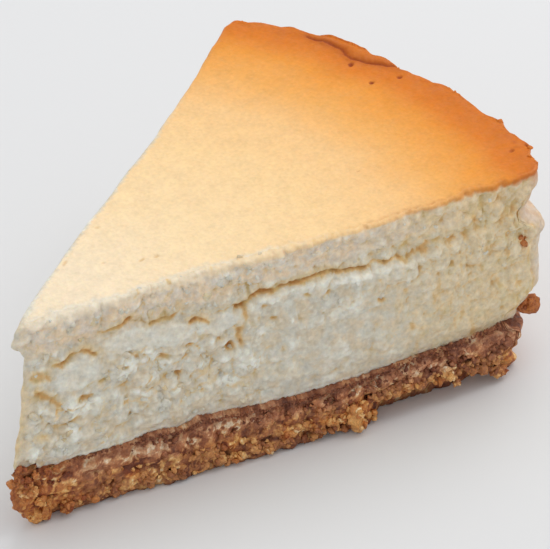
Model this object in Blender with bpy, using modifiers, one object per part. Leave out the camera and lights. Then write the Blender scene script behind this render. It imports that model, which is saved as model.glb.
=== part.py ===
"""A wedge of baked cheesecake: a cream filling with a baked top, on a base of pressed crumbs.

The wedge is laid out in millimetres with its tip at the origin and its middle along +X, and is
moved to the centre of its footprint and scaled to metres when each body is finished.
"""

import math
import random

import bmesh
import bpy
from mathutils import Matrix, Vector, noise

OBJECT_NAME = "cheesecake_slice"
MM = 0.001

# Driving dimensions, in millimetres and degrees.
CAKE_RADIUS = 115.0
SLICE_ANGLE = 45.5
SLICE_HEIGHT = 48.6
BASE_HEIGHT = 12.6
NODE_GAP = 0.3
TIP_ROUNDING = 0.6
NEAR_CORNER_ROUNDING = 5.0
FAR_CORNER_ROUNDING = 1.2
FOOTPRINT_CENTRE = (54.3, 1.35)

# Mesh density.
VOXEL = 1.1
FILLING_TRIANGLES = 6900
BASE_TRIANGLES = 2600
FLAT_SNAP = 0.45

# The filling's edge at the tip: height, and how far it stands out past the top's own tip.
TIP_PROFILE = ((12.0, 6.0), (16.0, 6.4), (20.0, 5.2), (25.0, 3.6), (30.0, 2.4), (36.0, 1.1),
               (40.0, 0.5), (42.0, 1.4), (44.5, 3.6), (46.5, 2.6), (48.6, 1.0))
TIP_REACH = 22.0

# The outer wall at the near corner: height, and how far it stands in from the cake's radius.
RIM_PROFILE = ((12.0, 7.8), (14.5, 6.8), (17.0, 4.2), (20.0, 1.8), (24.0, 1.6), (28.0, 0.9), (32.0, 0.0),
               (36.0, -0.3), (39.0, 0.4), (43.0, 1.9), (46.5, 0.7), (48.6, 0.0))
RIM_PROFILE_FAR_SHARE = 0.45
# The outer wall from above: angle in degrees, and how far it stands out past the radius.
RIM_SWAY = ((-22.7, 0.6), (-16.0, 1.2), (-8.0, 0.9), (0.0, 0.3), (8.0, 0.2), (15.0, 0.5), (22.7, 0.0))

# The far cut as seen from above: distance from the tip, and how far the cut stands out.
FAR_CUT_SWAY = ((0.0, 0.0), (15.0, 0.7), (30.0, 0.8), (50.0, -0.3), (70.0, -1.1), (90.0, -0.9),
                (105.0, 0.3), (115.0, 1.2))
NEAR_CUT_SWAY = ((0.0, 0.0), (20.0, 0.5), (45.0, 0.1), (70.0, 0.8), (90.0, 0.5), (104.0, -0.5),
                 (115.0, -0.9))
NEAR_CUT_LEAN = 0.5

# Cracks under the near cut's top band: points as (distance from the tip, height).
CRACKS = (
    {"path": ((8.5, 35.0), (11.0, 37.0), (14.5, 37.2), (16.5, 36.0)), "depth": 1.3, "width": 1.0},
    {"path": ((17.0, 39.8), (20.0, 41.0), (24.0, 41.0)), "depth": 1.7, "width": 1.1},
    {"path": ((26.5, 39.5), (34.0, 39.0)), "depth": 1.3, "width": 0.9},
    {"path": ((36.5, 37.3), (38.5, 36.0), (41.0, 36.2)), "depth": 1.2, "width": 0.9},
    {"path": ((46.0, 32.3), (46.8, 35.4), (49.0, 37.6), (53.0, 38.6), (60.0, 39.1), (66.0, 39.1),
              (72.0, 38.2), (78.0, 37.2), (85.0, 37.5)), "depth": 1.9, "width": 0.9},
    {"path": ((88.0, 39.0), (93.0, 39.2), (98.0, 38.0)), "depth": 1.0, "width": 1.2},
)
LEDGE_START = 44.0
LEDGE_LINE = ((44.0, 34.6), (49.0, 37.4), (60.0, 38.9), (72.0, 38.0), (85.0, 37.3), (115.0, 38.1))
LEDGE_PROUD = 0.8
BAND_RECESS = 0.4

# Hollows in the near cut: distance from the tip, height, radius, depth.
NEAR_HOLLOWS = (
    (4.5, 33.5, 2.4, 1.5), (7.0, 30.5, 1.7, 1.2), (12.5, 26.8, 1.6, 1.2), (16.0, 30.4, 1.4, 0.9),
    (21.5, 31.0, 1.5, 1.0), (29.0, 31.0, 1.6, 1.2), (36.0, 31.0, 1.5, 1.0), (43.5, 28.5, 2.2, 1.8),
    (24.0, 33.8, 1.5, 0.6), (53.0, 35.0, 1.6, 1.1), (62.0, 35.5, 1.6, 1.0), (66.5, 34.8, 1.7, 1.0),
    (76.5, 30.0, 2.0, 0.9), (86.0, 36.5, 1.9, 1.2), (92.5, 33.2, 1.8, 1.3), (98.0, 37.0, 1.8, 1.1),
    (104.5, 37.5, 1.9, 1.1), (84.0, 20.5, 1.9, 0.9), (89.5, 21.5, 1.7, 0.8), (25.0, 22.5, 1.8, 0.9),
    (9.0, 20.0, 1.8, 0.9), (59.0, 22.0, 1.6, 0.6), (33.0, 24.5, 1.6, 0.8), (70.0, 17.5, 1.6, 0.6),
)
# Smeared areas of the near cut: distance from the tip, height, half length, half height.
NEAR_SMEARS = ((11.0, 34.0, 4.5, 3.5), (25.0, 37.5, 9.0, 3.4), (40.0, 34.6, 5.5, 2.6))

FAR_HOLLOW_COUNT = 22
FAR_CRACK = {"path": ((22.0, 38.0), (34.0, 39.5), (50.0, 38.2), (63.0, 39.6), (74.0, 38.6)),
             "depth": 1.5, "width": 1.2}
RIM_HOLLOW_COUNT = 12
CURD_SIZE = 4.6
CURD_HEIGHT = 0.75
TOP_SWELL = 0.45
TOP_SWELL_SIZE = 30.0
EDGE_ROLL = 3.0
EDGE_DROP = 0.7

# The wrinkle along the top's outer edge: (angle in degrees, distance in from the radius).
RIM_WRINKLE = ((3.5, 1.6), (5.5, 2.4), (7.5, 3.6), (9.5, 1.9), (12.0, 1.2))
RIM_WRINKLE_DEPTH = 0.8
RIM_WRINKLE_WIDTH = 1.0

# The base where it broke away under the near cut, from a place to the outer wall.
BREAK_START = 74.0
BREAK_DEPTH = 4.2
BREAK_HEIGHT = 5.2
BASE_TIP_PROFILE = ((0.0, 2.2), (3.0, 4.6), (7.0, 7.6), (11.0, 7.6), (13.0, 6.6))
BASE_RIM_INSET = 2.0
BASE_CORNER_PROFILE = ((0.0, 9.8), (3.0, 10.2), (6.0, 10.0), (9.0, 6.8), (11.0, 7.4), (12.6, 8.8))
# The base's near side: distance from the tip, and how far it stands out past the filling's cut.
BASE_NEAR_STAND = ((0.0, -1.4), (15.0, -0.6), (30.0, 0.6), (60.0, 0.9), (75.0, 0.5), (100.0, 0.4))
BASE_LUMP_SIZE = 3.6
BASE_LUMP_HEIGHT = 0.8

# Crumbs that stand out: distance from the tip along the near cut, height, how far out, radius.
NEAR_CLUMPS = (
    (4.6, 2.5, 0.0, 2.0), (8.6, 2.3, 0.1, 1.8), (6.0, 9.0, -0.1, 1.5), (13.0, 2.4, 0.1, 1.9),
    (66.0, 4.2, 0.1, 1.8), (69.0, 4.6, 0.5, 2.3), (70.6, 2.7, 0.4, 2.1), (72.4, 4.6, 0.1, 1.8),
    (89.6, 7.4, 0.0, 1.9), (91.4, 5.2, 0.1, 1.8), (92.4, 3.6, 0.1, 1.6), (96.6, 5.4, -0.3, 1.8),
    (99.4, 4.2, -0.3, 2.1), (102.2, 3.2, -0.6, 2.2), (100.6, 6.6, -0.4, 1.9), (103.6, 5.8, -1.4, 2.0),
    (104.6, 9.6, -1.6, 2.4), (84.0, 7.0, 0.1, 1.7), (79.0, 6.6, 0.1, 1.8), (75.0, 6.0, 0.1, 1.7),
)
# Crumbs at the base's tip: place, and radius.
TIP_CLUMPS = ((-2.4, 0.2, 2.6, 2.1), (0.8, -0.9, 2.3, 1.8), (-5.7, 0.4, 7.2, 1.8),
              (-5.2, -0.2, 10.2, 1.6), (-3.8, 1.2, 4.6, 1.8))
NEAR_CRUMB_COUNT = 26
FAR_CRUMB_COUNT = 22
RIM_CRUMB_COUNT = 16
CRUMB_RADIUS = (1.1, 1.8)
CRUMB_FLOOR = 0.4
CRUMB_JITTER = 0.16
FILLING_FADE = 4.5
WALL_FOLD = 1.9
BASE_FADE = 13.0

# The crumb stuck low on the filling's outer wall: angle in degrees, height, radius.
STUCK_CRUMB = (-21.2, 15.7, 2.4)
STUCK_CRUMB_REACH = 111.2
RANDOM_SEED = 41

HALF_ANGLE = math.radians(SLICE_ANGLE / 2)
NEAR_ALONG = Vector((math.cos(HALF_ANGLE), -math.sin(HALF_ANGLE), 0.0))
NEAR_OUT = Vector((-math.sin(HALF_ANGLE), -math.cos(HALF_ANGLE), 0.0))
FAR_ALONG = Vector((math.cos(HALF_ANGLE), math.sin(HALF_ANGLE), 0.0))
FAR_OUT = Vector((-math.sin(HALF_ANGLE), math.cos(HALF_ANGLE), 0.0))


def clamp(value):
    """Return value held between 0 and 1."""
    return max(0.0, min(1.0, value))


def ease(start, end, value):
    """Return a smooth 0 to 1 ramp of value from start to end."""
    share = clamp((value - start) / (end - start))
    return share * share * (3.0 - 2.0 * share)


def bell(distance, width):
    """Return a bell curve that is 1 at no distance."""
    return math.exp(-((distance / width) ** 2))


def along_profile(profile, value):
    """Return the eased value of a profile of (place, amount) pairs."""
    if value <= profile[0][0]:
        return profile[0][1]
    for (place, amount), (next_place, next_amount) in zip(profile, profile[1:]):
        if value <= next_place:
            share = ease(place, next_place, value)
            return amount + (next_amount - amount) * share
    return profile[-1][1]


def distance_to_path(path, first, second):
    """Return the shortest distance from a point to a path of points."""
    best = math.inf
    for (a_first, a_second), (b_first, b_second) in zip(path, path[1:]):
        run = b_first - a_first
        rise = b_second - a_second
        share = ((first - a_first) * run + (second - a_second) * rise) / (run * run + rise * rise)
        share = clamp(share)
        gap = math.hypot(first - a_first - share * run, second - a_second - share * rise)
        best = min(best, gap)
    return best


def lumps(place, size, seed):
    """Return smooth noise from about -1 to 1 for a place in millimetres."""
    return noise.fractal(place / size + Vector((seed, seed * 1.7, seed * 0.3)), 0.6, 2.1, 3)


def smear(s, z):
    """Return how far a place on the near cut is smeared smooth, from 0 to 1."""
    amount = 0.0
    for centre_s, centre_z, half_s, half_z in NEAR_SMEARS:
        reach = math.hypot((s - centre_s) / half_s, (z - centre_z) / half_z)
        amount = max(amount, 1.0 - ease(0.75, 1.15, reach))
    return amount


def near_relief(s, z):
    """Return how far the near cut stands out at a distance s from the tip and a height z."""
    curds = CURD_HEIGHT * lumps(Vector((s, z, 0.0)), CURD_SIZE, 3.1)
    value = curds * (1.0 - 0.85 * smear(s, z))
    line = along_profile(LEDGE_LINE, s)
    right = ease(LEDGE_START, LEDGE_START + 5.0, s) * (1.0 - 0.6 * ease(88.0, 108.0, s))
    below = ease(-0.6, 0.6, line - z)
    value += right * LEDGE_PROUD * below * (1.0 - 0.8 * ease(4.0, 16.0, line - z))
    value -= right * BAND_RECESS * (1.0 - below) * (1.0 - ease(5.0, 9.0, z - line))
    for crack in CRACKS:
        value -= crack["depth"] * bell(distance_to_path(crack["path"], s, z), crack["width"])
    for centre_s, centre_z, radius, depth in NEAR_HOLLOWS:
        value -= depth * bell(math.hypot(s - centre_s, z - centre_z), radius)
    value -= NEAR_CUT_LEAN * (1.0 - ease(14.0, 40.0, z))
    return value + along_profile(NEAR_CUT_SWAY, s)


def far_relief(s, z, hollows):
    """Return how far the far cut stands out at a distance s from the tip and a height z."""
    value = CURD_HEIGHT * lumps(Vector((s, z, 0.0)), CURD_SIZE, 11.7)
    value -= FAR_CRACK["depth"] * bell(distance_to_path(FAR_CRACK["path"], s, z), FAR_CRACK["width"])
    for centre_s, centre_z, radius, depth in hollows:
        value -= depth * bell(math.hypot(s - centre_s, z - centre_z), radius)
    return value + along_profile(FAR_CUT_SWAY, s)


def rim_inset(angle, z, hollows):
    """Return how far the outer wall stands in at an angle in degrees and a height z."""
    arc = math.radians(angle) * CAKE_RADIUS
    near_share = 1.0 - ease(-18.0, 2.0, angle) * (1.0 - RIM_PROFILE_FAR_SHARE)
    value = along_profile(RIM_PROFILE, z) * near_share - along_profile(RIM_SWAY, angle)
    value += 0.3 * lumps(Vector((arc, z, 0.0)), 9.0, 23.3)
    for centre_arc, centre_z, radius, depth in hollows:
        value += depth * bell(math.hypot(arc - centre_arc, z - centre_z), radius)
    return value


def top_drop(x, y):
    """Return how far the top lies below the slice's height at a place seen from above."""
    distance = math.hypot(x, y)
    angle = math.degrees(math.atan2(y, x))
    value = TOP_SWELL * (0.5 + 0.5 * lumps(Vector((x, y, 0.0)), TOP_SWELL_SIZE, 7.7))
    value += EDGE_DROP * ease(CAKE_RADIUS - EDGE_ROLL, CAKE_RADIUS, distance) ** 2
    path = [(math.radians(turn) * CAKE_RADIUS, CAKE_RADIUS - inset) for turn, inset in RIM_WRINKLE]
    gap = distance_to_path(path, math.radians(angle) * CAKE_RADIUS, distance)
    return value + RIM_WRINKLE_DEPTH * bell(gap, RIM_WRINKLE_WIDTH)


def random_hollows(rng, count, length, low, high):
    """Return hollows as (place, height, radius, depth), drawn evenly over a wall."""
    hollows = []
    for index in range(count):
        place = length[0] + (length[1] - length[0]) * (index + rng.random()) / count
        height = rng.uniform(low, high)
        hollows.append((place, height, rng.uniform(1.4, 2.2), rng.uniform(0.7, 1.4)))
    return hollows


def fillet(centre, radius, start, end, steps):
    """Return the points of a rounding, from one direction in radians to another."""
    points = []
    for index in range(steps + 1):
        angle = start + (end - start) * index / steps
        points.append((centre[0] + radius * math.cos(angle), centre[1] + radius * math.sin(angle)))
    return points


def corner_fillet(along, out, rounding, radius):
    """Return the centre of a rounding that touches a cut and the outer wall."""
    reach = math.sqrt((radius - rounding) ** 2 - rounding ** 2)
    centre = along * reach - out * rounding
    return centre.x, centre.y


def wedge_outline(radius, near_rounding, far_rounding, tip_rounding):
    """Return the slice's outline from above, counter-clockwise from the tip's far side."""
    near_turn = math.atan2(NEAR_OUT.y, NEAR_OUT.x)
    far_turn = math.atan2(FAR_OUT.y, FAR_OUT.x)
    tip_centre = (tip_rounding / math.sin(HALF_ANGLE), 0.0)
    points = fillet(tip_centre, tip_rounding, far_turn, near_turn + 2.0 * math.pi, 8)
    near = corner_fillet(NEAR_ALONG, NEAR_OUT, near_rounding, radius)
    far = corner_fillet(FAR_ALONG, FAR_OUT, far_rounding, radius)
    near_end = math.atan2(near[1], near[0])
    far_end = math.atan2(far[1], far[0])
    points += fillet(near, near_rounding, near_turn, near_end, 10)
    points += fillet((0.0, 0.0), radius, near_end, far_end, 60)[1:-1]
    points += fillet(far, far_rounding, far_end, far_turn, 6)
    return points


def evaluated_mesh(thing):
    """Return a new mesh of an object with its modifiers applied."""
    graph = bpy.context.evaluated_depsgraph_get()
    return bpy.data.meshes.new_from_object(thing.evaluated_get(graph))


def replace_mesh(thing, mesh):
    """Give an object a new mesh, and take the old one and the modifiers away."""
    old = thing.data
    thing.modifiers.clear()
    thing.data = mesh
    bpy.data.meshes.remove(old)


def extruded_outline(name, points, low, high, collection):
    """Return a closed body with an outline in millimetres, from one height to another."""
    curve = bpy.data.curves.new(name + "_outline", "CURVE")
    curve.dimensions = "2D"
    curve.fill_mode = "BOTH"
    curve.extrude = (high - low) / 2
    spline = curve.splines.new("POLY")
    spline.points.add(len(points) - 1)
    for point, (x, y) in zip(spline.points, points):
        point.co = (x, y, 0.0, 1.0)
    spline.use_cyclic_u = True
    drawn = bpy.data.objects.new(name + "_outline", curve)
    collection.objects.link(drawn)
    mesh = evaluated_mesh(drawn)
    bpy.data.objects.remove(drawn)
    bpy.data.curves.remove(curve)
    shell = bmesh.new()
    shell.from_mesh(mesh)
    bmesh.ops.remove_doubles(shell, verts=shell.verts, dist=0.0001)
    bmesh.ops.translate(shell, verts=shell.verts, vec=(0.0, 0.0, (low + high) / 2))
    bmesh.ops.recalc_face_normals(shell, faces=shell.faces)
    shell.to_mesh(mesh)
    shell.free()
    mesh.name = name
    body = bpy.data.objects.new(name, mesh)
    collection.objects.link(body)
    return body


def remesh(body, voxel):
    """Give a body an even mesh of small faces."""
    modifier = body.modifiers.new("Even mesh", "REMESH")
    modifier.mode = "VOXEL"
    modifier.voxel_size = voxel
    replace_mesh(body, evaluated_mesh(body))


def decimate(body, triangles):
    """Bring a body down to about a count of triangles."""
    body.data.calc_loop_triangles()
    modifier = body.modifiers.new("Fewer faces", "DECIMATE")
    modifier.ratio = min(1.0, triangles / len(body.data.loop_triangles))
    modifier.use_collapse_triangulate = True
    replace_mesh(body, evaluated_mesh(body))


def snap_flat(body, height):
    """Lay each vertex near a height exactly on it."""
    for vertex in body.data.vertices:
        if abs(vertex.co.z - height) < FLAT_SNAP:
            vertex.co.z = height


def wall_shares(point, fade):
    """Return how near a point is to the near cut, the far cut and the outer wall, from 0 to 1."""
    near = ease(-fade, -0.8, point.dot(NEAR_OUT))
    far = ease(-fade, -0.8, point.dot(FAR_OUT))
    rim = ease(-1.4 * fade, -1.0, math.hypot(point.x, point.y) - CAKE_RADIUS)
    return near, far, rim


def shape_filling(body, rng):
    """Give the filling its leaning walls, cracks, hollows and curdled cuts."""
    far_hollows = random_hollows(rng, FAR_HOLLOW_COUNT, (6.0, 108.0), 17.0, 43.0)
    rim_hollows = random_hollows(rng, RIM_HOLLOW_COUNT, (-42.0, 42.0), 18.0, 42.0)
    half_gap = NODE_GAP / 2
    for vertex in body.data.vertices:
        point = vertex.co.copy()
        flat = Vector((point.x, point.y, 0.0))
        near, far, rim = wall_shares(flat, FILLING_FADE)
        angle = math.degrees(math.atan2(point.y, point.x))
        away_from_tip = ease(0.0, 6.0, point.x)
        move = NEAR_OUT * near * near_relief(flat.dot(NEAR_ALONG), point.z) * away_from_tip
        move += FAR_OUT * far * far_relief(flat.dot(FAR_ALONG), point.z, far_hollows) * away_from_tip
        inset = rim_inset(angle, point.z, rim_hollows)
        if inset * WALL_FOLD > 1.4 * FILLING_FADE:
            rim = ease(-WALL_FOLD * inset, -1.0, flat.length - CAKE_RADIUS)
        move -= flat.normalized() * rim * inset
        lean = 1.0 - ease(0.0, TIP_REACH, point.x)
        move.x -= lean * along_profile(TIP_PROFILE, point.z)
        top = ease(SLICE_HEIGHT - 6.0, SLICE_HEIGHT - 1.0, point.z)
        move.z -= top * top_drop(point.x, point.y)
        vertex.co = point + move
    decimate(body, FILLING_TRIANGLES)
    snap_flat(body, BASE_HEIGHT + half_gap)


def near_base_relief(s, z):
    """Return how far the base's near side stands out."""
    value = BASE_LUMP_HEIGHT * lumps(Vector((s, z, 0.0)), BASE_LUMP_SIZE, 31.9)
    value += along_profile(BASE_NEAR_STAND, s)
    gone = ease(BREAK_START - 2.0, BREAK_START + 3.0, s)
    value -= gone * BREAK_DEPTH * (1.0 - ease(BREAK_HEIGHT - 2.5, BREAK_HEIGHT + 1.5, z))
    return value + along_profile(NEAR_CUT_SWAY, s)


def shape_base(body):
    """Give the base its lumpy sides and the place where it broke away."""
    for vertex in body.data.vertices:
        point = vertex.co.copy()
        flat = Vector((point.x, point.y, 0.0))
        near, far, rim = wall_shares(flat, BASE_FADE)
        angle = math.degrees(math.atan2(point.y, point.x))
        away_from_tip = ease(0.0, 6.0, point.x)
        move = NEAR_OUT * near * near_base_relief(flat.dot(NEAR_ALONG), point.z) * away_from_tip
        far_out = BASE_LUMP_HEIGHT * lumps(point, BASE_LUMP_SIZE, 47.1) - 0.8
        far_out += along_profile(FAR_CUT_SWAY, flat.dot(FAR_ALONG))
        move += FAR_OUT * far * far_out * away_from_tip
        if rim > 0.0:
            corner = 1.0 - ease(-21.0, -13.0, angle)
            inset = BASE_RIM_INSET
            inset += (along_profile(BASE_CORNER_PROFILE, point.z) - BASE_RIM_INSET) * corner
            inset += BASE_LUMP_HEIGHT * lumps(point, BASE_LUMP_SIZE, 53.3)
            move -= flat.normalized() * rim * inset
        lean = 1.0 - ease(0.0, TIP_REACH, point.x)
        move.x -= lean * (along_profile(BASE_TIP_PROFILE, point.z) + 0.6 * lumps(point, BASE_LUMP_SIZE, 5.9))
        vertex.co = point + move
    decimate(body, BASE_TRIANGLES)
    snap_flat(body, 0.0)
    snap_flat(body, BASE_HEIGHT - NODE_GAP / 2)


def add_crumb(collection, rng, centre, radius):
    """Add one uneven crumb, with its middle at a place and no part under the floor."""
    shape = bmesh.new()
    bmesh.ops.create_icosphere(shape, subdivisions=1, radius=radius)
    turn = Matrix.Rotation(rng.uniform(0.0, math.tau), 3, Vector((rng.random(), rng.random(), 1.0)))
    squash = Vector((rng.uniform(0.85, 1.2), rng.uniform(0.85, 1.2), rng.uniform(0.75, 1.0)))
    for vertex in shape.verts:
        place = turn @ vertex.co * (1.0 + rng.uniform(-CRUMB_JITTER, CRUMB_JITTER))
        place = Vector(a * b for a, b in zip(place, squash))
        vertex.co = place + centre
        vertex.co.z = max(vertex.co.z, CRUMB_FLOOR + 0.2 * rng.random())
    mesh = bpy.data.meshes.new("crumb")
    shape.to_mesh(mesh)
    shape.free()
    crumb = bpy.data.objects.new("crumb", mesh)
    collection.objects.link(crumb)


def near_base_place(s, z, out):
    """Return a place by the base's near side, out from the plain cut."""
    stand = along_profile(NEAR_CUT_SWAY, s) + along_profile(BASE_NEAR_STAND, s) + out
    return NEAR_ALONG * s + NEAR_OUT * stand + Vector((0.0, 0.0, z))


def add_near_crumbs(collection, rng):
    """Add the clumps and the smaller crumbs of the base's near side."""
    for x, y, z, radius in TIP_CLUMPS:
        add_crumb(collection, rng, Vector((x, y, z)), radius)
    for s, z, out, radius in NEAR_CLUMPS:
        place = near_base_place(s, z, out)
        place.x -= (1.0 - ease(0.0, TIP_REACH, s)) * along_profile(BASE_TIP_PROFILE, z)
        add_crumb(collection, rng, place, radius)
    for index in range(NEAR_CRUMB_COUNT):
        s = 14.0 + 52.0 * (index + rng.random()) / NEAR_CRUMB_COUNT
        z = rng.choice((2.0, 2.6, 4.2, 6.0, 7.6))
        add_crumb(collection, rng, near_base_place(s, z, 0.0), rng.uniform(*CRUMB_RADIUS))


def add_far_crumbs(collection, rng):
    """Add the crumbs of the base's far side."""
    for index in range(FAR_CRUMB_COUNT):
        s = 8.0 + 96.0 * (index + rng.random()) / FAR_CRUMB_COUNT
        out = along_profile(FAR_CUT_SWAY, s) - 0.8
        place = FAR_ALONG * s + FAR_OUT * out + Vector((0.0, 0.0, rng.uniform(2.0, 8.5)))
        add_crumb(collection, rng, place, rng.uniform(*CRUMB_RADIUS))


def add_rim_crumbs(collection, rng):
    """Add the crumbs of the base's outer side."""
    for index in range(RIM_CRUMB_COUNT):
        angle = math.radians(-17.0 + 38.0 * (index + rng.random()) / RIM_CRUMB_COUNT)
        reach = CAKE_RADIUS - BASE_RIM_INSET - 0.3
        height = rng.uniform(2.0, 9.5)
        place = Vector((reach * math.cos(angle), reach * math.sin(angle), height))
        add_crumb(collection, rng, place, rng.uniform(*CRUMB_RADIUS))


def join_pieces(body, pieces):
    """Join a collection of small pieces to a body, and remove them."""
    modifier = body.modifiers.new("Joined pieces", "BOOLEAN")
    modifier.operation = "UNION"
    modifier.operand_type = "COLLECTION"
    modifier.collection = pieces
    modifier.solver = "EXACT"
    replace_mesh(body, evaluated_mesh(body))
    for piece in list(pieces.objects):
        mesh = piece.data
        bpy.data.objects.remove(piece)
        bpy.data.meshes.remove(mesh)


def island_of(start):
    """Return every face of a mesh that hangs together with one face."""
    found = {start}
    waiting = [start]
    while waiting:
        face = waiting.pop()
        for edge in face.edges:
            for other in edge.link_faces:
                if other not in found:
                    found.add(other)
                    waiting.append(other)
    return found


def keep_outer_shell(shape):
    """Remove every shell but the largest, so that no sealed hollow or loose scrap is left."""
    waiting = set(shape.faces)
    islands = []
    while waiting:
        island = island_of(next(iter(waiting)))
        waiting -= island
        islands.append(island)
    islands.sort(key=lambda island: sum(face.calc_area() for face in island))
    for island in islands[:-1]:
        bmesh.ops.delete(shape, geom=list(island), context="FACES")


def drop_flaps(shape):
    """Remove each pair of triangles that lie back to back on the same three points."""
    found = {}
    for face in shape.faces:
        found.setdefault(frozenset(vertex.index for vertex in face.verts), []).append(face)
    flaps = [face for pair in found.values() if len(pair) == 2 for face in pair]
    bmesh.ops.delete(shape, geom=flaps, context="FACES")


def finish_body(body, material):
    """Clean a body, move it to the part's frame in metres and give it its material."""
    shape = bmesh.new()
    shape.from_mesh(body.data)
    bmesh.ops.dissolve_degenerate(shape, edges=shape.edges, dist=0.00005)
    keep_outer_shell(shape)
    bmesh.ops.triangulate(shape, faces=shape.faces)
    shape.verts.index_update()
    drop_flaps(shape)
    bmesh.ops.recalc_face_normals(shape, faces=shape.faces)
    centre = Vector((*FOOTPRINT_CENTRE, 0.0))
    for vertex in shape.verts:
        vertex.co = (vertex.co - centre) * MM
    shape.to_mesh(body.data)
    shape.free()
    body.data.materials.clear()
    body.data.materials.append(material)


def new_material(name, colour, roughness):
    """Return a plain material."""
    material = bpy.data.materials.new(name)
    material.use_nodes = True
    shader = material.node_tree.nodes["Principled BSDF"]
    shader.inputs["Base Color"].default_value = (*colour, 1.0)
    shader.inputs["Roughness"].default_value = roughness
    return material


def new_collection(name):
    """Return a new collection of the scene."""
    collection = bpy.data.collections.new(name)
    bpy.context.scene.collection.children.link(collection)
    return collection


def build_filling(collection, loose, rng):
    """Build the cream filling, with its baked top and the crumb stuck on its outer wall."""
    points = wedge_outline(CAKE_RADIUS, NEAR_CORNER_ROUNDING, FAR_CORNER_ROUNDING, TIP_ROUNDING)
    low = BASE_HEIGHT + NODE_GAP / 2
    body = extruded_outline("filling", points, low, SLICE_HEIGHT, collection)
    remesh(body, VOXEL)
    shape_filling(body, rng)
    turn, height, radius = STUCK_CRUMB
    reach = STUCK_CRUMB_REACH
    angle = math.radians(turn)
    add_crumb(loose, rng, Vector((reach * math.cos(angle), reach * math.sin(angle), height)), radius)
    join_pieces(body, loose)
    finish_body(body, new_material("cream", (0.80, 0.70, 0.50), 0.55))


def build_base(collection, loose, rng):
    """Build the crumb base, with the crumbs that stand out of its sides."""
    points = wedge_outline(CAKE_RADIUS, NEAR_CORNER_ROUNDING, FAR_CORNER_ROUNDING, TIP_ROUNDING)
    body = extruded_outline("crumb_base", points, 0.0, BASE_HEIGHT - NODE_GAP / 2, collection)
    remesh(body, VOXEL)
    shape_base(body)
    add_near_crumbs(loose, rng)
    add_far_crumbs(loose, rng)
    add_rim_crumbs(loose, rng)
    join_pieces(body, loose)
    finish_body(body, new_material("crumb", (0.30, 0.15, 0.07), 0.85))


def main():
    """Build the slice in an empty scene."""
    for thing in list(bpy.data.objects):
        bpy.data.objects.remove(thing)
    rng = random.Random(RANDOM_SEED)
    collection = new_collection(OBJECT_NAME)
    loose = new_collection("pieces_to_join")
    build_filling(collection, loose, rng)
    build_base(collection, loose, rng)
    bpy.data.collections.remove(loose)


main()
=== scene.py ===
"""The dressed cheesecake slice: its cream filling, baked top and crumb base, on a pale floor.

The slice is laid out in millimetres with its tip at the origin and its middle along +X, and each
mesh is moved to the part's frame and scaled to metres when it is made.
"""

import logging
import math
import random
from dataclasses import dataclass, field
from enum import Enum
from typing import Callable, Iterable

import bmesh
import bpy
import numpy as np
from mathutils import Matrix, Vector, kdtree
from mathutils.geometry import delaunay_2d_cdt


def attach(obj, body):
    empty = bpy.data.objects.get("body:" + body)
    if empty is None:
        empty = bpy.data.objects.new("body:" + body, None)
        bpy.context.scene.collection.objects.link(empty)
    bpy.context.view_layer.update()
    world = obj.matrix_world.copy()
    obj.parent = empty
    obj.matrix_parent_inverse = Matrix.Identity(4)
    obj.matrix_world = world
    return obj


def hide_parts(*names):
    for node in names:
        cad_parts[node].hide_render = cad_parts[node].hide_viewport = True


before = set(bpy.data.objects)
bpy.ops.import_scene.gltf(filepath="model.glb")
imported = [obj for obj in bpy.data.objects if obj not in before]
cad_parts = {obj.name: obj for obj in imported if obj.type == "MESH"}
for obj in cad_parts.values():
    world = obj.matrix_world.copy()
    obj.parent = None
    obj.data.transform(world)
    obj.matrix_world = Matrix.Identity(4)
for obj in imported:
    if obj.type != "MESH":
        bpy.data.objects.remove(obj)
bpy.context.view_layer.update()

log = logging.getLogger("cheesecake")

MM = 0.001
FOOTPRINT_CENTRE = (54.3, 1.35, 0.0)
SLICE_HEIGHT = 48.6
BASE_HEIGHT = 12.6
SEED = 41
# Rows of even triangles lie this share of their spacing apart, and close points this share of it.
ROW_SHARE = 0.866
FINE_SHARE = 0.42

Profile = tuple[tuple[float, float], ...]
Colour = tuple[float, float, float]
Stops = tuple[tuple[float, Colour], ...]
Range = tuple[float, float]


def linear(red: float, green: float, blue: float) -> Colour:
    """Turn a display colour of 0 to 255 into the linear colour that a shader takes.

    Args:
        red: Red as displayed.
        green: Green as displayed.
        blue: Blue as displayed.

    Returns:
        The linear colour.
    """
    shares = (value / 255.0 for value in (red, green, blue))
    return tuple(share / 12.92 if share <= 0.04045 else ((share + 0.055) / 1.055) ** 2.4
                 for share in shares)


def as_stops(*rows: tuple[float, float, float, float]) -> Stops:
    """Turn rows of a place and a display colour into the stops of a colour ramp."""
    return tuple((place, linear(*colour)) for place, *colour in rows)


def ease(start: float, end: float, value: np.ndarray) -> np.ndarray:
    """Ramp smoothly from 0 at start to 1 at end.

    Args:
        start: Where the ramp begins.
        end: Where the ramp is full.
        value: Places along the ramp.

    Returns:
        The ramp's value at each place.
    """
    share = np.clip((np.asarray(value, dtype=float) - start) / (end - start), 0.0, 1.0)
    return share * share * (3.0 - 2.0 * share)


def bell(distance: np.ndarray, width: float) -> np.ndarray:
    """Give a bell curve that is 1 at no distance."""
    return np.exp(-((distance / width) ** 2))


def along_profile(profile: Profile, value: np.ndarray) -> np.ndarray:
    """Read a profile of (place, amount) pairs, eased between them.

    Args:
        profile: The pairs, in order of place.
        value: Places to read.

    Returns:
        The amount at each place.
    """
    value = np.asarray(value, dtype=float)
    amount = np.full(value.shape, profile[0][1], dtype=float)
    for (place, low), (next_place, high) in zip(profile, profile[1:]):
        share = ease(place, next_place, value)
        amount = np.where(value > place, low + (high - low) * share, amount)
    return amount


def share_at(start: float, end: float, value: float) -> float:
    """Give the ease of one value."""
    return float(ease(start, end, np.array(value)))


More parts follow.
